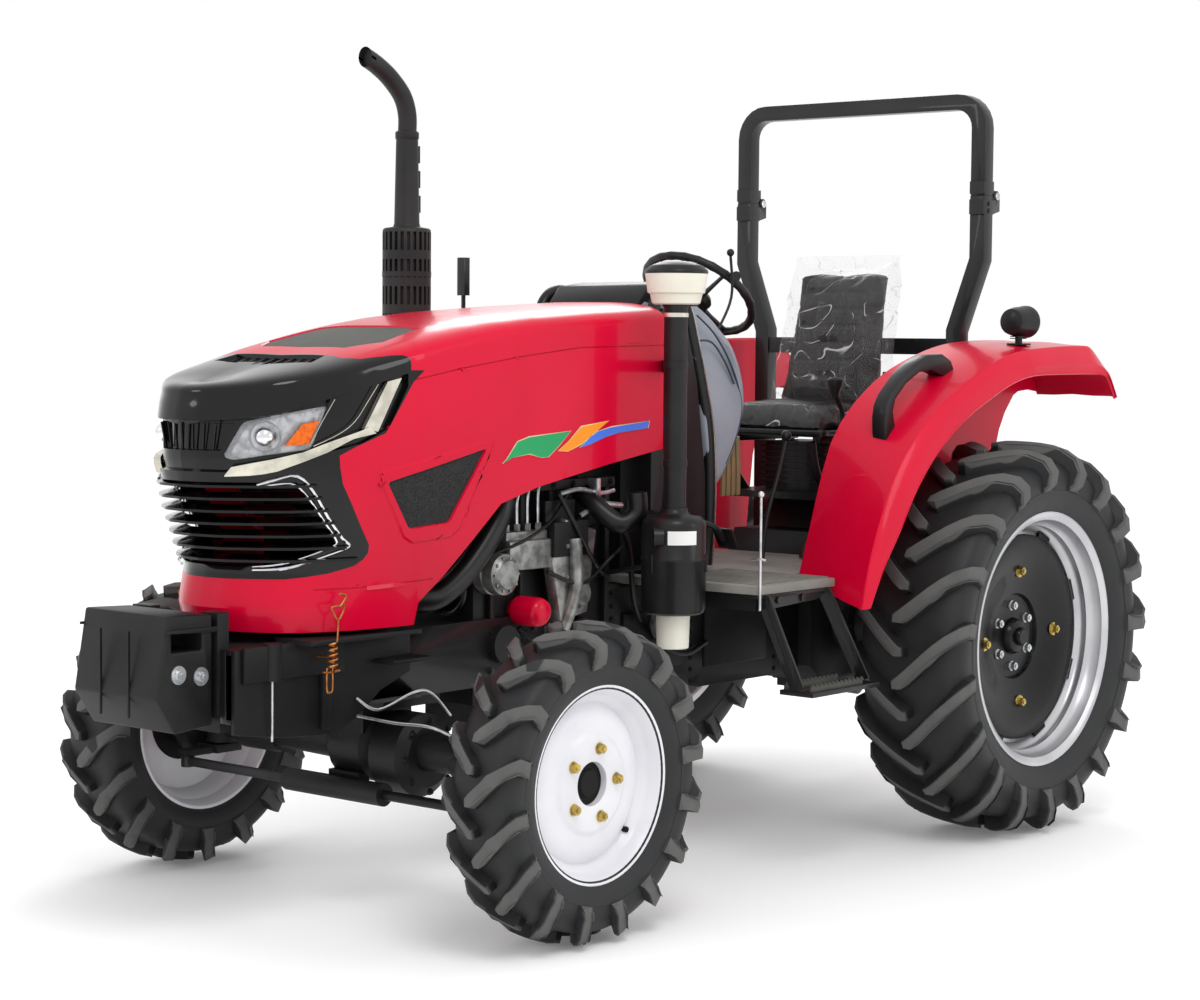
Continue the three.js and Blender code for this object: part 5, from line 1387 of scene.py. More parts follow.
levers = bmesh.new()
line = ((0.205, -0.905, 1.43), (0.205, -0.800, 1.58), (0.200, -0.715, 1.70), (0.200, -0.722, 1.832))
bent(levers, line, 6, 0.0045)
bmesh.ops.create_uvsphere(levers, u_segments=16, v_segments=10, radius=0.012,
                          matrix=Matrix.Translation(at(0.200, -0.722, 1.838)))
rod(levers, at(0.206, -0.698, 1.765), at(0.190, -0.690, 1.765), 0.016)
made(levers, "throttle_lever", "chassis", soft_black, slot="satin_black")

mesh = bmesh.new()
tube(mesh, smooth_line(ats((0.250, -0.330, 0.870), (0.252, -0.300, 1.05), (0.256, -0.180, 1.285),
                           (0.251, -0.212, 1.385)), 6), [0.010] * 12 + [0.0085] * 7, 10)
spun(mesh, ((-0.020, 0.0), (-0.020, 0.012), (0.0, 0.016), (0.024, 0.026), (0.038, 0.026), (0.046, 0.018),
            (0.048, 0.0)), at(0.251, -0.217, 1.400), axis="z", steps=24)
spun(mesh, ((-0.022, 0.0), (-0.022, 0.045), (0.005, 0.042), (0.030, 0.026), (0.050, 0.014), (0.052, 0.0)),
     at(0.250, -0.330, 0.885), axis="z", steps=24)
made(mesh, "knobbed_lever", "chassis", soft_black, ["gear_lever"], "satin_black")

pedals = bmesh.new()
for x in (0.30, -0.25, -0.36):
    bent(pedals, ((x * 0.8, -0.99, 1.02), (x, -0.93, 1.00), (x, -0.87, 0.955)), 5, 0.010)
    prism(pedals, ats((x - 0.035, -0.885, 0.985), (x + 0.035, -0.885, 0.985), (x + 0.035, -0.850, 0.925),
                      (x - 0.035, -0.850, 0.925)), Vector((0, 0.010, 0.006)), 0.003)
for x in (0.262, -0.262):
    bent(pedals, ((x, -0.62, 0.87), (x, -0.60, 1.00), (x, -0.54, 1.14), (x, -0.50, 1.25)), 6, 0.007)
    bmesh.ops.create_uvsphere(pedals, u_segments=14, v_segments=8, radius=0.018,
                              matrix=Matrix.Translation(at(x, -0.50, 1.262)))
made(pedals, "pedals", "chassis", soft_black, slot="satin_black")

# ---- Seat ----
# A quilted vinyl cushion and back over foam, on a black steel base, wrapped in a clear
# dust cover that creases round it. The pads swell within their covers.
vinyl = Finish("seat_vinyl")
grain = vinyl.node("ShaderNodeTexVoronoi", {}, {"Vector": vinyl.place, "Scale": 420}, out="Distance")
slow = vinyl.noise(9, 4)
vinyl.close(
    height=grain,
    depth=0.0004,
    strength=0.6,
    Base_Color=vinyl.mix(slow, rgb(0.075, 0.072, 0.065), rgb(0.11, 0.105, 0.095)),
    Roughness=slow * 0.15 + grain * 0.1 + 0.32,
    Specular_IOR_Level=0.25,
)


def pad(name, corners, rows, swell, node, channels, cap):
    """A padded block: a closed, crowned form that is swollen by pressure inside its skin."""
    mesh = bmesh.new()
    block(mesh, corners[0], corners[1], 0.018)
    for vert in mesh.verts:
        vert.co = rows(vert.co)
    bmesh.ops.recalc_face_normals(mesh, faces=mesh.faces)
    data = bpy.data.meshes.new("pad_form")
    mesh.to_mesh(data)
    mesh.free()
    piece = bpy.data.objects.new("pad_form", data)
    bpy.context.scene.collection.objects.link(piece)
    bpy.context.view_layer.objects.active = piece
    remesh = piece.modifiers.new("remesh", "REMESH")
    remesh.mode = "VOXEL"
    remesh.voxel_size = 0.006
    apply_all(piece)
    start = [v.co.copy() for v in piece.data.vertices]
    cloth = piece.modifiers.new("cloth", "CLOTH")
    cloth.settings.use_pressure = True
    cloth.settings.uniform_pressure_force = swell
    cloth.settings.effector_weights.gravity = 0
    for frame in range(1, 21):
        bpy.context.scene.frame_set(frame)
    apply_all(piece)
    bpy.context.scene.frame_set(1)
    for vert, was in zip(piece.data.vertices, start):
        move = vert.co - was
        if move.length > cap:
            vert.co = was + move.normalized() * cap
    mesh = bmesh.new()
    mesh.from_mesh(piece.data)
    bmesh.ops.smooth_vert(
        mesh, verts=mesh.verts, factor=0.5, use_axis_x=True, use_axis_y=True, use_axis_z=True
    )
    mesh.normal_update()
    for vert in mesh.verts:
        depth = channels(vert.co, vert.normal)
        vert.co = vert.co - vert.normal * depth
    bpy.data.objects.remove(piece)
    done = made(mesh, name, "chassis", vinyl.material, [node], "black_vinyl", sharp=70)


def apply_all(piece):
    """Applies a piece's modifiers to its mesh."""
    shape = piece.evaluated_get(bpy.context.evaluated_depsgraph_get())
    data = bpy.data.meshes.new_from_object(shape)
    piece.modifiers.clear()
    piece.data = data


def sewn(distance, width=0.006, depth=0.006):
    """How deep a sewn channel presses in at a distance from its line."""
    return depth * math.exp(-((distance / width) ** 2))


SEAT_BACK_LOW = at(0, 0.115, 1.375)
SEAT_BACK_TOP = at(0, 0.200, 1.795)


def seat_rows(p):
    y = p.y - REAR_AXLE.y
    dish = 0.012 * (1 - (p.x / 0.21) ** 2) if p.z > 1.29 else 0.0
    wing = 0.010 * max(0.0, abs(p.x) - 0.13) / 0.08 if p.z > 1.29 else 0.0
    taper = 1 - 0.06 * max(0.0, (y + 0.10) / 0.25)
    return Vector((p.x * taper, p.y, p.z - dish + wing + 0.03 * max(0.0, (y - 0.02) / 0.15) ** 2))


def seat_channels(p, n):
    if n.z < 0.5:
        return 0.0
    y = p.y - REAR_AXLE.y
    press = sewn(abs(p.x) - 0.135)
    for k in range(5):
        if abs(p.x) < 0.135:
            press += sewn(y + 0.16 - 0.062 * k)
    return press


def back_rows(p):
    t = (p.z - SEAT_BACK_LOW.z) / (SEAT_BACK_TOP.z - SEAT_BACK_LOW.z)
    lean = SEAT_BACK_LOW.y + (SEAT_BACK_TOP.y - SEAT_BACK_LOW.y) * t
    narrow = 1 - 0.16 * max(0.0, t - 0.6) / 0.4
    hollow = 0.012 * (1 - (p.x / 0.2) ** 2)
    return Vector((p.x * narrow, p.y + lean - SEAT_BACK_LOW.y + hollow, p.z))


def back_channels(p, n):
    if n.y > -0.4:
        return 0.0
    press = sewn(abs(p.x) - 0.128)
    if abs(p.x) < 0.128:
        for k in range(6):
            press += sewn(p.z - 1.44 - 0.058 * k, 0.005, 0.005)
        if 1.44 < p.z < 1.73:
            for x in (-0.064, 0.0, 0.064):
                press += sewn(p.x - x, 0.005, 0.005)
    return min(press, 0.008)


pad("seat_pad", (at(-0.203, -0.232, 1.270), at(0.203, 0.150, 1.325)), seat_rows, 3.0, "seat_cushion",
    seat_channels, 0.022)
pad("back_pad", (at(-0.196, 0.072, 1.354), at(0.196, 0.150, 1.790)), back_rows, 3.0, "seat_back",
    back_channels, 0.022)

pan = bmesh.new()
block(pan, at(-0.214, -0.244, 1.248), at(0.214, 0.140, 1.268), 0.006)
PAN_LIP = ((-0.212, 0.12), (-0.214, -0.20), (-0.19, -0.244), (0.19, -0.244), (0.214, -0.20), (0.212, 0.12))
bent(pan, [(x, y, 1.262) for x, y in PAN_LIP], 6, 0.010)
made(pan, "seat_pan", "chassis", soft_black, slot="satin_black")

frame_parts = bmesh.new()
for x in (0.17, -0.17):
    block(frame_parts, at(x - 0.02, -0.20, 1.225), at(x + 0.02, 0.14, 1.247), 0.003)
    bent(frame_parts, ((x, -0.23, 1.232), (x, -0.20, 1.13), (x, -0.12, 1.045)), 5, 0.014, 10)
    bent(frame_parts, ((x, 0.12, 1.232), (x, 0.14, 1.13), (x, 0.16, 1.045)), 5, 0.014, 10)
    prism(frame_parts, ats((x - 0.012, 0.130, 1.25), (x - 0.012, 0.185, 1.25), (x - 0.012, 0.225, 1.46),
                           (x - 0.012, 0.195, 1.46)), Vector((0.024, 0, 0)), 0.003)
block(frame_parts, at(-0.20, -0.235, 1.040), at(0.20, 0.19, 1.062), 0.004)
block(frame_parts, at(-0.12, -0.10, 1.062), at(0.12, 0.10, 1.225), 0.01)
for k in range(7):
    z = 1.085 + 0.02 * k
    block(frame_parts, at(-0.128, -0.11, z), at(0.128, 0.11, z + 0.008), 0.003)
made(frame_parts, "seat_frame", "chassis", soft_black, ["seat_base"], "satin_black")

# The clear cover: a bag over the back with two pointed corners, and a sheet over the cushion.
clear = Finish("clear_cover")
creases, fine_creases = (
    clear.node(
        "ShaderNodeTexNoise",
        {},
        {"Vector": clear.place, "Scale": scale, "Detail": 1, "Roughness": 0.4, "Distortion": twist},
    )
    for scale, twist in ((5, 1.4), (12, 0.9))
)
long_fold = 1 - abs(creases - 0.5).rise(0.002, 0.014)
short_fold = 1 - abs(fine_creases - 0.47).rise(0.001, 0.012)
# Along the crease lines the film is painted near-white and made more opaque: a painted highlight standing in
# for light glinting on the folds.
painted_glint = (long_fold * 0.75 + short_fold * 0.45) * fine_creases.rise(0.40, 0.58)
clear.close(
    height=creases,
    depth=0.010,
    strength=1.0,
    Base_Color=clear.mix(painted_glint, rgb(0.72, 0.72, 0.73), rgb(0.97, 0.97, 0.97)),
    Roughness=creases * 0.10 + 0.06,
    Alpha=painted_glint * 0.60 + creases * 0.10 + 0.02,
)


def folds(p, size):
    """A smooth, repeatable crumple of the film at a point."""
    a = math.sin(31 * p.x + 17 * p.z + 3) * math.sin(23 * p.z - 9 * p.x + 29 * p.y)
    b = math.sin(57 * p.z + 41 * p.x) * math.sin(37 * p.x - 63 * p.z + 11 * p.y + 2)
    return size * (a + 0.6 * b)


bag = bmesh.new()
rings = []
for j in range(41):
    t = j / 40
    z = 1.352 + t * 0.475
    low = 0.022 * math.sin(t * 9) * (1 - t)
    wide = (0.232 - 0.030 * t + low * 0.3) if t < 0.93 else 0.232 - 0.030 * 0.93 + (t - 0.93) * 0.15
    deep = 0.066 if t < 0.9 else 0.066 * (1 - (t - 0.9) / 0.1) + 0.004
    middle = 0.115 + 0.085 * (z - 1.375) / 0.42
    ring = []
    for k in range(64):
        angle = math.tau * k / 64
        c, s = math.cos(angle), math.sin(angle)
        x = wide * math.copysign(abs(c) ** 0.35, c)
        y = middle + deep * math.copysign(abs(s) ** 0.6, s)
        peak = 0.0
        if t > 0.86:
            peak = (t - 0.86) / 0.14 * (0.030 * (abs(x) / wide) ** 6 - 0.020 * (1 - (abs(x) / wide) ** 2))
        p = at(x, y, z + peak)
        out = Vector((c, s, 0))
        ring.append(bag.verts.new(p + out * folds(p, 0.0045)))
    rings.append(ring)
for a, b in zip(rings, rings[1:]):
    for k in range(64):
        j = (k + 1) % 64
        bag.faces.new((a[k], a[j], b[j], b[k]))
# The rear half of the bag's top is closed across from side to side.
top = rings[-1]
for k in range(16):
    a, b, c, d = top[k], top[(k + 1) % 64], top[(31 - k) % 64], top[(32 - k) % 64]
    if len({a, b, c, d}) == 4:
        bag.faces.new((a, b, c, d))
cover = made(bag, "back_cover", "chassis", clear.material, slot="headlamp_lens", sharp=180)

film = bmesh.new()
grid = []
for j in range(45):
    row = []
    for k in range(45):
        u, v = k / 44 * 2 - 1, j / 44
        edge = max(0.0, abs(u) - 0.86) / 0.14
        x = 0.222 * math.copysign(min(abs(u) / 0.86, 1.0), u) + 0.004 * math.copysign(edge, u)
        y = -0.258 + v * 0.40
        front = max(0.0, 0.12 - v) / 0.12
        z = 1.352 - 0.055 * edge**1.5 + 0.012 * max(0.0, v - 0.7)
        z -= 0.070 * front**1.6
        y -= 0.012 * front
        p = at(x, y, z)
        row.append(film.verts.new(p + Vector((0, 0, folds(p, 0.0035)))))
    grid.append(row)
for a, b in zip(grid, grid[1:]):
    for p, q, r, s in zip(a, a[1:], b[1:], b):
        film.faces.new((p, q, r, s))
cover = made(film, "cushion_cover", "chassis", clear.material, slot="headlamp_lens", sharp=180)

# ---- Roll bar ----
# A bent rectangular steel tube, painted black. The hoop folds back on two pins between
# plates; square collars with bolts join it to the lower frame.
satin_black = paint("satin_black", rgb(0.085, 0.085, 0.09), rgb(0.115, 0.115, 0.12), 0.36, coat=0.25)


def softened(node, body, finish, slot, width=0.003, extra=None):
    """A copy of a CAD node with its sharp edges rounded and, where given, more shapes added."""
    source = frame["nodes"][node]
    mesh = bmesh.new()
    mesh.from_mesh(source.data)
    mesh.transform(source.matrix_world)
    bmesh.ops.remove_doubles(mesh, verts=mesh.verts, dist=2e-5)
    bmesh.ops.dissolve_limit(mesh, angle_limit=0.02, verts=mesh.verts, edges=mesh.edges)
    bmesh.ops.recalc_face_normals(mesh, faces=mesh.faces)
    edges = [e for e in mesh.edges if len(e.link_faces) == 2 and e.calc_face_angle(0) > math.radians(32)]
    bmesh.ops.bevel(mesh, geom=edges, offset=width, segments=2, profile=0.5, affect="EDGES", material=-1,
                    clamp_overlap=True)
    if extra:
        extra(mesh)
    return made(mesh, f"rounded_{node}", body, finish, [node], slot, 35)


def lower_collars(mesh):
    for sign in (1, -1):
        x = 0.487 * sign
        block(mesh, at(x - 0.0285, 0.246, 1.990), at(x + 0.0285, 0.314, 2.040), 0.004)
        for z in (2.002, 2.026):
            hex_bolt(mesh, at(x + 0.028 * sign, 0.28, z), (sign, 0, 0), 0.013, 0.004)


def upper_collars(mesh):
    for sign in (1, -1):
        x = 0.487 * sign
        block(mesh, at(x - 0.0285, 0.2475, 2.058), at(x + 0.0285, 0.3125, 2.100), 0.004)


softened("roll_bar_base", "chassis", satin_black, "satin_black", 0.007, lower_collars)
softened("roll_bar_hoop", "roll_bar_hoop", satin_black, "satin_black", 0.007, upper_collars)
PIN_HEAD = ((0.0275, 0.0), (0.0275, 0.013), (0.0325, 0.013), (0.034, 0.010), (0.034, 0.0))
pins = bmesh.new()
for sign in (1, -1):
    for way in (1, -1):
        spun(pins, [(a * way, radius) for a, radius in PIN_HEAD], at(0.487 * sign, 0.331, 2.052), steps=20)
made(pins, "hinge_pin_heads", "chassis", zinc, slot="bright_rod")

# ---- Exhaust, air intake and mirror ----
# The silencer's guard is a slotted steel drum with a tapered pipe and a bent outlet. The
# intake has a cream bowl under a black cap, on a black pipe to a canister with a dust cup.
hot_black = paint("hot_black", rgb(0.12, 0.12, 0.125), rgb(0.17, 0.165, 0.16), 0.5, grain=0.0006)
EXHAUST = at(-0.432, -1.516, 0)
stack = bmesh.new()
SLOT_PITCH = 0.0823
profile = [(1.130, 0.0), (1.130, 0.060), (1.136, 0.070), (1.142, 0.0735)]
for k in range(8, -1, -1):
    profile += [(1.830 - SLOT_PITCH * k, 0.0738), (1.885 - SLOT_PITCH * k, 0.0738)]
profile += [(1.892, 0.0730), (1.897, 0.068), (1.900, 0.050), (1.902, 0.040)]
spun(stack, profile, EXHAUST, axis="z", steps=48)
bmesh.ops.recalc_face_normals(stack, faces=stack.faces)
slots = []
for face in stack.faces:
    middle = face.calc_center_median()
    tall = max(v.co.z for v in face.verts) - min(v.co.z for v in face.verts)
    turn = math.atan2(middle.y - EXHAUST.y, middle.x - EXHAUST.x)
    column = int((turn + math.pi) / math.tau * 48)
    if 0.05 < tall < 0.06 and column % 2 == 0:
        slots.append(face)
bmesh.ops.inset_individual(stack, faces=slots, thickness=0.0006, depth=-0.012)
TAPER = ((1.900, 0.042), (1.912, 0.0385), (2.165, 0.0335), (2.168, 0.0360), (2.186, 0.0360), (2.190, 0.0320),
         (2.190, 0.0))
spun(stack, TAPER, EXHAUST, axis="z", steps=32)
for k in range(3):
    z = 1.945 + 0.075 * k
    high = EXHAUST + Vector((0.020, 0.0405 - 0.0015 * k, z + 0.052))
    block(stack, EXHAUST + Vector((-0.010, 0.026, z)), high, 0.002)
made(stack, "exhaust_guard", "chassis", hot_black, ["exhaust"], "satin_black")
outlet = bmesh.new()
BEND = ((0, 2.18), (0, 2.24), (-0.022, 2.295), (-0.075, 2.345), (-0.130, 2.378), (-0.172, 2.396))
bend = smooth_line([EXHAUST + Vector((0, y, z)) for y, z in BEND], 8)
tube(outlet, bend, 0.0285, 24)
outlet.faces.ensure_lookup_table()
mouth = outlet.faces[-1]
blow = (bend[-1] - bend[-3]).normalized()
for vert in mouth.verts:
    vert.co += blow * ((EXHAUST.y - 0.178 - vert.co.y) / blow.y)
bmesh.ops.inset_region(outlet, faces=[mouth], thickness=0.003)
bmesh.ops.translate(outlet, verts=mouth.verts, vec=blow * -0.02)
FEED = ((0.225, 0.10, 1.062), (0.12, 0.05, 1.050), (0.03, 0.005, 1.062), (0, 0, 1.10), (0, 0, 1.14))
tube(outlet, smooth_line([EXHAUST + Vector(p) for p in FEED], 6), 0.028, 16)


def band_round(mesh, centre, low, high, inner, outer, steps=32):
    """Adds a thin band round an upright pipe."""
    spun(mesh, ((low, inner), (low, outer), (high, outer), (high, inner)), centre, axis="z", steps=steps)


for z in (1.30, 1.75):
    band_round(outlet, EXHAUST, z, z + 0.016, 0.0738, 0.0748, 40)
made(outlet, "exhaust_outlet", "chassis", hot_black, slot="satin_black")

INTAKE = at(0.45, -1.305, 0)
cream = paint("bowl_cream", rgb(0.88, 0.87, 0.82), rgb(0.84, 0.83, 0.77), 0.4, grain=0.0002, patch=4)
bowl = bmesh.new()
spun(bowl, ((1.668, 0.0), (1.668, 0.062), (1.672, 0.070), (1.698, 0.076), (1.702, 0.083), (1.750, 0.090),
            (1.758, 0.091), (1.758, 0.0)), INTAKE, axis="z", steps=48)
made(bowl, "intake_bowl", "chassis", cream, ["precleaner"], "cream_bowl")
cap = bmesh.new()
spun(cap, ((1.757, 0.0), (1.757, 0.0915), (1.763, 0.0925), (1.768, 0.090), (1.776, 0.080), (1.779, 0.078),
           (1.782, 0.070), (1.790, 0.050), (1.7935, 0.022), (1.794, 0.0)), INTAKE, axis="z", steps=48)
block(cap, INTAKE + Vector((-0.005, 0.060, 1.664)), INTAKE + Vector((0.012, 0.090, 1.676)), 0.002)
made(cap, "intake_cap", "chassis", soft_black, slot="satin_black")
pipe = bmesh.new()
PIPE = ((1.082, 0.0), (1.082, 0.036), (1.10, 0.0345), (1.655, 0.0345), (1.668, 0.040), (1.668, 0.0))
spun(pipe, PIPE, INTAKE, axis="z", steps=32)
prism(pipe, ats((0.24, -1.150, 1.470), (0.24, -1.136, 1.470), (0.24, -1.136, 1.505), (0.24, -1.150, 1.505)),
      Vector((0.19, -0.13, 0)), 0.002)
for z in (1.20, 1.485):
    band_round(pipe, INTAKE, z, z + 0.02, 0.034, 0.037)
made(pipe, "intake_stack", "chassis", soft_black, ["intake_pipe"], "satin_black")
band = bmesh.new()
band_round(band, INTAKE, 1.632, 1.644, 0.034, 0.0372)
made(band, "intake_band", "chassis", trim_silver, slot="silver_steel")
can = bmesh.new()
spun(can, ((0.772, 0.0), (0.772, 0.080), (0.778, 0.090), (0.790, 0.094), (0.925, 0.094), (0.928, 0.0965),
           (0.936, 0.0965), (0.939, 0.094), (1.030, 0.094), (1.045, 0.090), (1.056, 0.078), (1.060, 0.050),
           (1.070, 0.040), (1.081, 0.038), (1.081, 0.0)), INTAKE, axis="z", steps=48)
rod(can, INTAKE + Vector((-0.02, 0.02, 1.005)), INTAKE + Vector((-0.130, 0.055, 1.025)), 0.042, 24)
rod(can, INTAKE + Vector((0.02, -0.075, 1.000)), INTAKE + Vector((0.0, -0.096, 1.000)), 0.030, 24)
prism(can, [INTAKE + Vector(p) for p in ((-0.09, -0.03, 0.90), (-0.09, 0.03, 0.90), (-0.285, 0.03, 0.86),
                                         (-0.285, -0.03, 0.86))], Vector((0, 0, 0.012)), 0.002)
for k in range(3):
    angle = math.tau * (k / 3 + 0.08)
    x, y = 0.0955 * math.cos(angle), 0.0955 * math.sin(angle)
    tube(can, [INTAKE + Vector((x, y, z)) for z in (0.895, 0.915, 0.948)], 0.004, 6)
made(can, "air_canister", "chassis", soft_black, ["air_cleaner"], "satin_black")
CUP = ((0.671, 0.0), (0.671, 0.044), (0.674, 0.047), (0.760, 0.0495), (0.773, 0.0495), (0.773, 0.0))
cup = bmesh.new()
spun(cup, CUP, INTAKE, axis="z", steps=32)
made(cup, "dust_cup", "chassis", cream, slot="cream_bowl")
label = bmesh.new()
for k in range(6):
    a, b = (math.radians(28 + 9 * (k + j)) for j in (0, 1))
    corners = [INTAKE + Vector((0.0948 * math.sin(t), -0.0948 * math.cos(t), z)) for t, z in
               ((a, 0.978), (b, 0.978), (b, 1.018), (a, 1.018))]
    label.faces.new([label.verts.new(p) for p in corners])
bare_label = paint("bare_label", rgb(0.88, 0.88, 0.87), rgb(0.83, 0.83, 0.82), 0.4)
made(label, "canister_label", "chassis", bare_label, slot="white_steel")
fins = bmesh.new()
for k in range(10):
    x = -0.166 + 0.036 * k
    prism(fins, ats((x, -2.497, 1.462), (x, -2.497, 1.489), (x, -2.430, 1.511), (x, -2.430, 1.475)),
          Vector((0.008, 0, 0)), 0.001)
made(fins, "hood_vent_fins", "hood", soft_black, slot="gloss_black")
softened("mirror", "chassis", satin_black, "satin_black", 0.006)

# ---- Front frame ----
# A channel frame with a cast bolster, a cast weight hooked over its front, zinc bolts, a
# wire latch that holds the hood down and steel pipes to the axle.
cast_black = paint(
    "cast_black", rgb(0.07, 0.07, 0.075), rgb(0.11, 0.11, 0.115), 0.48, grain=0.0012, scale=420
)


def weight_details(mesh):
    rim = ((-2.972, 0.835), (-2.795, 0.835), (-2.795, 0.820), (-2.972, 0.828))
    for sign in (1, -1):
        prism(mesh, [at(sign * 0.1625, y, z) for y, z in rim], Vector((sign * 0.004, 0, 0)), 0.001)
        low, high = sorted((sign * 0.10, sign * 0.168))
        block(mesh, at(low, -2.800, 0.600), at(high, -2.760, 0.868), 0.004)
    for x in (-0.055, 0.055):
        block(mesh, at(x - 0.002, -2.9975, 0.61), at(x + 0.002, -2.990, 0.83), 0.0008)


softened("front_weight", "chassis", cast_black, "cast_black", 0.006, weight_details)
bolts = bmesh.new()
for sign in (1, -1):
    for y, z in ((-2.925, 0.722), (-2.852, 0.712)):
        spot = at(0.1625 * sign, y, z)
        rod(bolts, spot, spot + Vector((0.0035 * sign, 0, 0)), 0.024, 24)
        hex_bolt(bolts, spot + Vector((0.003 * sign, 0, 0)), (sign, 0, 0), 0.022, 0.013, 1.1)
made(bolts, "weight_bolts", "chassis", zinc, slot="bright_rod", sharp=25)


def rail_details(mesh):
    for y in (-2.66, -2.55, -2.30, -1.80, -1.62):
        for z in (0.625, 0.735):
            hex_bolt(mesh, at(0.187, y, z), (1, 0, 0), 0.016, 0.008)
    block(mesh, at(0.187, -2.79, 0.762), at(0.207, -2.10, 0.775), 0.002)
    block(mesh, at(0.187, -2.79, 0.585), at(0.207, -2.10, 0.597), 0.002)


softened("frame_rail_left", "chassis", satin_black, "satin_black", 0.002, rail_details)
softened("frame_rail_right", "chassis", satin_black, "satin_black", 0.002)


CHEEK = ((-2.79, 0.775), (-2.16, 0.775), (-2.16, 0.665), (-2.27, 0.625), (-2.36, 0.560), (-2.44, 0.525),
         (-2.62, 0.535), (-2.79, 0.560))


def bolster_details(mesh):
    for sign in (1, -1):
        low, high = sorted((0.16 * sign, 0.300 * sign))
        block(mesh, at(low, -2.60, 0.776), at(high, -2.20, 0.790), 0.003)
        block(mesh, at(low, -2.30, 0.700), at(low + 0.14, -2.15, 0.712), 0.003)
        low, high = sorted((0.208 * sign, 0.222 * sign))
        prism(mesh, [at(low, y, z) for y, z in CHEEK], Vector((high - low, 0, 0)), 0.002)
        low, high = sorted((0.222 * sign, 0.240 * sign))
        block(mesh, at(low, -2.77, 0.690), at(high, -2.42, 0.782), 0.006)
        rod(mesh, at(0.232 * sign, -2.672, 0.690), at(0.232 * sign, -2.672, 0.786), 0.024, 24)
        block(mesh, at(low, -2.50, 0.545), at(high, -2.47, 0.690), 0.003)


softened("front_bolster", "chassis", cast_black, "cast_black", 0.003, bolster_details)
latch = bmesh.new()
for sign in (1, -1):
    x = 0.300 * sign
    for line, radius in (
        (((-2.500, 0.905), (-2.478, 0.900), (-2.486, 0.885), (-2.500, 0.872)), 0.0035),
        (((-2.500, 0.874), (-2.528, 0.872), (-2.520, 0.855), (-2.505, 0.838), (-2.488, 0.858),
          (-2.484, 0.874), (-2.500, 0.874)), 0.0028),
        (((-2.505, 0.838), (-2.507, 0.800), (-2.510, 0.780)), 0.0028),
        (((-2.545, 0.716), (-2.545, 0.660), (-2.535, 0.652), (-2.525, 0.660), (-2.525, 0.716)), 0.0028),
        (((-2.560, 0.706), (-2.535, 0.704), (-2.500, 0.706)), 0.003),
    ):
        tube(latch, smooth_line([at(x, y, z) for y, z in line], 4), radius, 8)
    coil = []
    for k in range(61):
        turn = math.tau * k / 12
        coil.append(at(x + 0.012 * math.cos(turn), -2.525 + 0.012 * math.sin(turn), 0.708 + 0.0012 * k))
    tube(latch, coil, 0.0030, 6)
    rod(latch, at(x - 0.10 * sign, -2.525, 0.742), at(x, -2.525, 0.742), 0.004, 10)
copper = paint("copper_wire", rgb(0.78, 0.50, 0.28), rgb(0.62, 0.38, 0.20), 0.32, 0.85, patch=60)
made(latch, "hood_latch", "chassis", copper, slot="bright_rod", sharp=60)
pipes = bmesh.new()
for sign in (1, -1):
    rod(pipes, at(0.243 * sign, -2.682, 0.535), at(0.243 * sign, -2.682, 0.692), 0.0035, 10)
    for line in (
        ((0.222, -2.363, 0.612), (0.25, -2.310, 0.578), (0.26, -2.190, 0.612), (0.25, -2.110, 0.604),
         (0.24, -2.020, 0.530)),
        ((0.222, -2.363, 0.565), (0.25, -2.25, 0.535), (0.30, -2.15, 0.515), (0.42, -2.12, 0.470)),
    ):
        tube(pipes, smooth_line([at(x * sign, y, z) for x, y, z in line], 6), 0.0042, 8)
made(pipes, "axle_pipes", "chassis", zinc, slot="bright_rod")


def axle_details(mesh):
    spun(mesh, ((-0.075, 0.0), (-0.075, 0.085), (-0.05, 0.115), (0.05, 0.115), (0.075, 0.085), (0.075, 0.0)),
         at(0.16, -2.095, 0.425), steps=32)
    for sign in (1, -1):
        spun(mesh, ((0.35 * sign, 0.0), (0.35 * sign, 0.052), (0.37 * sign, 0.056), (0.50 * sign, 0.056),
                    (0.52 * sign, 0.050), (0.52 * sign, 0.0)), at(0, -2.095, 0.425), steps=28)
    for spot in ring_of(at(0.235, -2.095, 0.425), 0.098, 8):
        hex_bolt(mesh, spot, (1, 0, 0), 0.014, 0.008)


softened("front_axle", "chassis", cast_black, "cast_black", 0.004, axle_details)
for side in SIDES:
    softened(f"steering_knuckle_{side}", f"knuckle_{side}", cast_black, "cast_black", 0.004)
dull_steel = paint("dull_steel", rgb(0.20, 0.20, 0.205), rgb(0.13, 0.13, 0.13), 0.4, 0.6)
softened("tie_rod", "tie_rod", dull_steel, "bright_rod", 0.002)

# ---- Engine and driveline ----
# A cast engine painted black under the hood, with an alloy pump and its steel pipes, a
# generator, belts, hoses, a red filter, and the gearbox and rear axle behind it.
hose_black = paint(
    "hose_black", rgb(0.05, 0.05, 0.055), rgb(0.09, 0.09, 0.095), 0.36, grain=0.0004, shine=0.35
)
alloy = paint(
    "cast_alloy", rgb(0.62, 0.62, 0.61), rgb(0.42, 0.42, 0.42), 0.42, 0.8, grain=0.0012, patch=30
)
PULLEY = (
    (-1.905, 0.0), (-1.905, 0.030), (-1.90, 0.078), (-1.892, 0.070), (-1.884, 0.070), (-1.876, 0.078),
    (-1.87, 0.03), (-1.85, 0.03), (-1.85, 0.0),
)


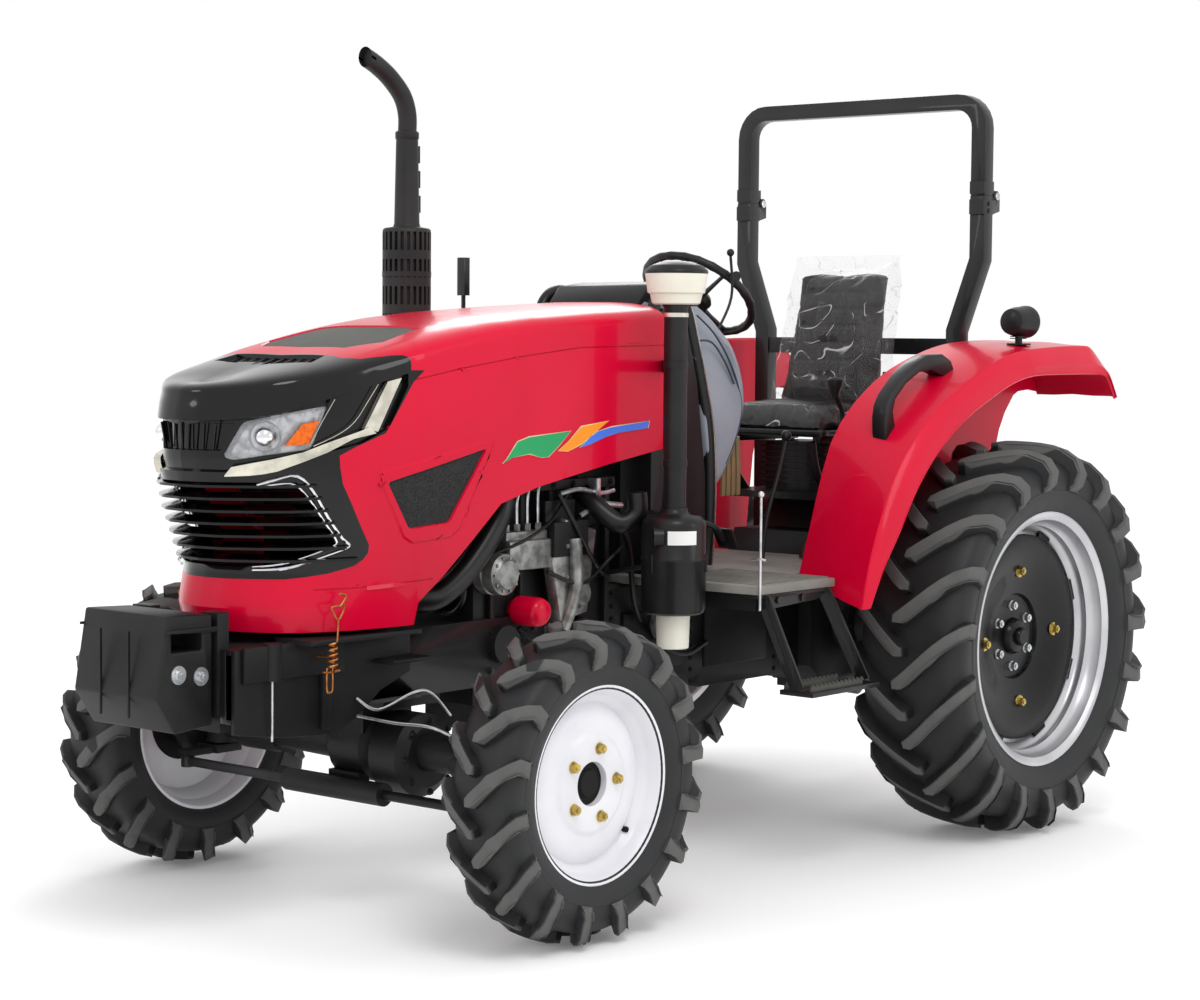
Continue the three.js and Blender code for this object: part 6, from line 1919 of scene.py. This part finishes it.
def engine_details(mesh):
    for k in range(5):
        y = -1.80 + 0.125 * k
        block(mesh, at(0.160, y, 0.60), at(0.185, y + 0.02, 1.15), 0.004)
    block(mesh, at(0.150, -1.840, 1.13), at(0.205, -1.28, 1.16), 0.004)
    block(mesh, at(-0.12, -1.82, 1.285), at(0.12, -1.30, 1.330), 0.02)
    for k in range(7):
        hex_bolt(mesh, at(0.206, -1.81 + 0.085 * k, 1.145), (1, 0, 0), 0.016, 0.009)
    for k in range(6):
        hex_bolt(mesh, at(0.186, -1.78 + 0.09 * k, 0.56), (1, 0, 0), 0.016, 0.009)
    rod(mesh, at(0.165, -1.76, 0.70), at(0.215, -1.76, 0.70), 0.055, 28)
    rod(mesh, at(0.165, -1.42, 0.68), at(0.205, -1.42, 0.68), 0.07, 28)
    spun(mesh, PULLEY, at(0, 0, 0.86), axis="y", steps=32)


softened("engine", "chassis", cast_black, "cast_black", 0.004, engine_details)

pump = bmesh.new()
block(pump, at(0.170, -1.830, 0.880), at(0.236, -1.630, 0.965), 0.008)
block(pump, at(0.180, -1.835, 0.965), at(0.226, -1.660, 0.990), 0.004)
for k in range(4):
    rod(pump, at(0.203, -1.812 + 0.045 * k, 0.985), at(0.203, -1.812 + 0.045 * k, 1.010), 0.010, 6)
prism(pump, ats((0.200, -1.62, 0.72), (0.200, -1.50, 0.74), (0.200, -1.46, 0.98), (0.200, -1.60, 1.02),
                (0.200, -1.66, 0.90)), Vector((0.045, 0, 0)), 0.012)
rod(pump, at(0.245, -1.555, 0.80), at(0.275, -1.555, 0.80), 0.032, 24)
bent(pump, ((0.235, -1.60, 0.70), (0.262, -1.575, 0.82), (0.250, -1.570, 0.96)), 5, 0.020, 12)
for k in range(9):
    hex_bolt(pump, at(0.246, -1.60 + 0.03 * (k % 3), 0.76 + 0.09 * (k // 3)), (1, 0, 0), 0.012, 0.007)
bmesh.ops.translate(pump, verts=pump.verts, vec=(0, 0.055, 0.030))
made(pump, "fuel_pump", "chassis", alloy, slot="alloy")
fine_pipes = bmesh.new()
for k in range(4):
    y = -1.812 + 0.045 * k
    rise = 1.065 + 0.012 * k
    line = (
        (0.203, y, 1.00), (0.203, y, rise), (0.203, y + 0.025, rise + 0.032),
        (0.200, y + 0.10, rise + 0.040), (0.17, y + 0.14, rise + 0.044),
    )
    bent(fine_pipes, line, 5, 0.0050)
line = ((0.22, -1.60, 1.09), (0.225, -1.52, 1.10), (0.225, -1.42, 1.085), (0.22, -1.36, 1.09))
bent(fine_pipes, line, 5, 0.007)
bent(fine_pipes, ((0.21, -1.50, 1.02), (0.225, -1.43, 1.05), (0.225, -1.33, 1.045)), 5, 0.009)
block(fine_pipes, at(0.18, -1.46, 1.055), at(0.24, -1.44, 1.13), 0.003)
bmesh.ops.translate(fine_pipes, verts=fine_pipes.verts, vec=(0, 0.055, 0.030))
made(fine_pipes, "injection_pipes", "chassis", zinc, slot="bright_rod")

DYNAMO = (
    (0.166, 0.0), (0.166, 0.050), (0.172, 0.058), (0.205, 0.060), (0.208, 0.056), (0.214, 0.056),
    (0.217, 0.060), (0.246, 0.058), (0.252, 0.045), (0.262, 0.040), (0.262, 0.0),
)
dynamo = bmesh.new()
centre = at(0, -1.807, 0.905)
spun(dynamo, DYNAMO, centre, steps=36)
for spot in ring_of(centre, 0.048, 10):
    block(dynamo, spot + Vector((0.250, -0.004, -0.004)), spot + Vector((0.256, 0.004, 0.004)), 0.001)
made(dynamo, "generator", "chassis", alloy, ["alternator"], "alloy")
belt = bmesh.new()
angles = [math.tau * k / 24 for k in range(24)]
loop = [at(0.10 + 0.07 * math.cos(turn), -1.893, 0.86 + 0.07 * math.sin(turn)) for turn in angles]
tube(belt, loop, 0.007, 6, closed=True, up=(0, 1, 0))
made(belt, "fan_belt", "chassis", hose_black, slot="black_hose")

FILTER = (
    (0.165, 0.0), (0.165, 0.030), (0.180, 0.036), (0.186, 0.042), (0.262, 0.042), (0.276, 0.036),
    (0.284, 0.022), (0.285, 0.0),
)
can = bmesh.new()
spun(can, FILTER, at(0, -1.680, 0.790), steps=32)
made(can, "filter_can", "chassis", red.material, ["oil_filter"], "red_paint")

COOLANT = (
    (0.135, -1.800, 1.200), (0.205, -1.800, 1.180), (0.240, -1.815, 1.110), (0.245, -1.862, 1.030),
    (0.240, -1.960, 0.925), (0.230, -2.060, 0.862), (0.205, -2.130, 0.858), (0.150, -2.150, 0.858),
)
TRUNK = (
    (0.330, -1.330, 1.120), (0.330, -1.330, 1.06), (0.300, -1.370, 1.03), (0.230, -1.400, 1.08),
    (0.140, -1.410, 1.16),
)
for name, node, line, radius, sides in (
    ("coolant_hose", "radiator_hose", COOLANT, 0.034, 20),
    ("air_trunk", "air_hose", TRUNK, 0.030, 18),
):
    hose = bmesh.new()
    bent(hose, line, 7, radius, sides)
    made(hose, name, "chassis", hose_black, [node], "black_hose")
wires = bmesh.new()
for line, radius in (
    (((0.22, -1.55, 1.12), (0.26, -1.50, 1.00), (0.24, -1.40, 0.90), (0.20, -1.30, 0.86)), 0.007),
    (((0.21, -1.82, 0.96), (0.25, -1.72, 1.00), (0.24, -1.60, 1.05), (0.21, -1.50, 1.12)), 0.005),
    (((0.20, -1.34, 1.10), (0.25, -1.28, 0.98), (0.23, -1.22, 0.80), (0.20, -1.15, 0.72)), 0.009),
    (((0.19, -1.30, 0.62), (0.22, -1.15, 0.66), (0.21, -0.95, 0.60), (0.18, -0.80, 0.62)), 0.008),
    (((0.24, -1.62, 0.90), (0.27, -1.50, 0.86), (0.25, -1.36, 0.92), (0.21, -1.25, 0.95)), 0.006),
    (((0.20, -1.70, 0.74), (0.24, -1.62, 0.68), (0.23, -1.50, 0.64), (0.19, -1.40, 0.62)), 0.010),
):
    bent(wires, line, 6, radius)
made(wires, "hoses_and_cables", "chassis", hose_black, slot="black_hose")


def radiator_details(mesh):
    for k in range(24):
        z = 0.83 + 0.022 * k
        block(mesh, at(-0.200, -2.2945, z), at(0.200, -2.2895, z + 0.006))
    cap = ((1.385, 0.0), (1.385, 0.032), (1.412, 0.032), (1.414, 0.028), (1.414, 0.0))
    spun(mesh, cap, at(0.10, -2.24, 0), axis="z", steps=24)


softened("radiator", "chassis", satin_black, "satin_black", 0.004, radiator_details)


def gearbox_details(mesh):
    for y in (-1.245, -0.86, -0.42):
        for k in range(9):
            z = 0.50 + 0.038 * k
            for sign in (1, -1):
                hex_bolt(mesh, at(0.165 * sign, y, z), (sign, 0, 0), 0.013, 0.006)
    for sign in (1, -1):
        low, high = sorted((0.163 * sign, 0.178 * sign))
        block(mesh, at(low, -0.80, 0.54), at(high, -0.48, 0.76), 0.006)
        block(mesh, at(low, -1.20, 0.56), at(high, -0.92, 0.74), 0.006)


softened("transmission", "chassis", cast_black, "cast_black", 0.006, gearbox_details)


def axle_case_details(mesh):
    for sign in (1, -1):
        spun(mesh, ((0.23 * sign, 0.10), (0.235 * sign, 0.135), (0.255 * sign, 0.135), (0.26 * sign, 0.10)),
             at(0, 0, 0.624), steps=32)
        for spot in ring_of(at(0.255 * sign, 0, 0.624), 0.118, 10):
            hex_bolt(mesh, spot, (sign, 0, 0), 0.015, 0.008)
    spun(mesh, ((0.475, 0.0), (0.475, 0.0175), (0.44, 0.0175), (0.42, 0.045), (0.40, 0.048)), at(0, 0, 0.56),
         axis="y", steps=24)


softened("rear_axle_case", "chassis", cast_black, "cast_black", 0.005, axle_case_details)

# ---- Rear linkage ----
# Forged arms and rods, painted black, on steel pins. The lift rods carry the lower links,
# which take an implement's weight behind the tractor.
softened("lift_arms", "lift_arms", satin_black, "satin_black", 0.004)
for side in SIDES:
    softened(f"lift_rod_{side}", f"lift_rod_{side}", satin_black, "satin_black", 0.002)
    softened(f"lower_link_{side}", f"lower_link_{side}", satin_black, "satin_black", 0.004)

# ---- Platform and steps ----
# A black steel platform under a dark grey rubber mat with low ribs; each step hangs on two
# flat bars and has a toothed grey tread.
mat = Finish("floor_mat")
slow, dots = mat.noise(7, 4), mat.noise(420, 2)
mat.close(
    height=dots,
    depth=0.0008,
    strength=0.7,
    Base_Color=mat.mix(slow.rise(0.3, 0.75), rgb(0.44, 0.435, 0.415), rgb(0.52, 0.51, 0.485)),
    Roughness=slow * 0.15 + 0.62,
)


def mat_details(mesh):
    for sign in (1, -1):
        for k in range(13):
            y = -1.165 + 0.028 * k
            low, high = sorted((0.27 * sign, 0.655 * sign))
            block(mesh, at(low, y, 0.857), at(high, y + 0.012, 0.8605), 0.001)


softened("floor", "chassis", mat.material, "floor_mat", 0.004, mat_details)
skirt = bmesh.new()
for sign in (1, -1):
    low, high = sorted((0.30 * sign, 0.676 * sign))
    block(skirt, at(low, -1.196, 0.785), at(high, -1.188, 0.833), 0.002)
    low, high = sorted((0.668 * sign, 0.676 * sign))
    prism(skirt, ats((low, -1.196, 0.785), (low, -0.90, 0.800), (low, -0.83, 0.833), (low, -1.196, 0.833)),
          Vector((high - low, 0, 0)), 0.002)
    for y in (-1.10, -0.98):
        rod(skirt, at(0.674 * sign, y, 0.812), at(0.684 * sign, y, 0.812), 0.011, 16)
    brace = ((0.30 * sign, -1.19, 0.80), (0.22 * sign, -1.12, 0.72), (0.18 * sign, -1.05, 0.66))
    bent(skirt, brace, 4, 0.014)
made(skirt, "platform_skirt", "chassis", satin_black, slot="satin_black")
stay = bmesh.new()
for sign in (1, -1):
    x = 0.688 * sign
    rod(stay, at(x, -1.203, 0.790), at(x, -1.203, 1.120), 0.0042, 10)
    hook = ((x - 0.03 * sign, -1.203, 0.936), (x, -1.208, 0.940), (x + 0.02 * sign, -1.203, 0.936))
    bent(stay, hook, 4, 0.0035)
    bmesh.ops.create_uvsphere(stay, u_segments=12, v_segments=8, radius=0.010,
                              matrix=Matrix.Translation(at(x, -1.203, 1.125)))
made(stay, "edge_rods", "chassis", zinc, slot="bright_rod")

for side in SIDES:
    softened(f"step_{side}", "chassis", satin_black, "satin_black", 0.002)
teeth = bmesh.new()
for sign in (1, -1):
    for x in (0.735, 0.825):
        low, high = sorted(((x - 0.004) * sign, (x + 0.004) * sign))
        block(teeth, at(low, -1.140, 0.554), at(high, -0.880, 0.572), 0.001)
        for k in range(13):
            y = -1.135 + 0.0205 * k
            prism(teeth, ats((low, y, 0.571), (low, y + 0.014, 0.571), (low, y + 0.007, 0.581)),
                  Vector((high - low, 0, 0)))
made(teeth, "step_teeth", "chassis", matte_grey, slot="silver_steel")
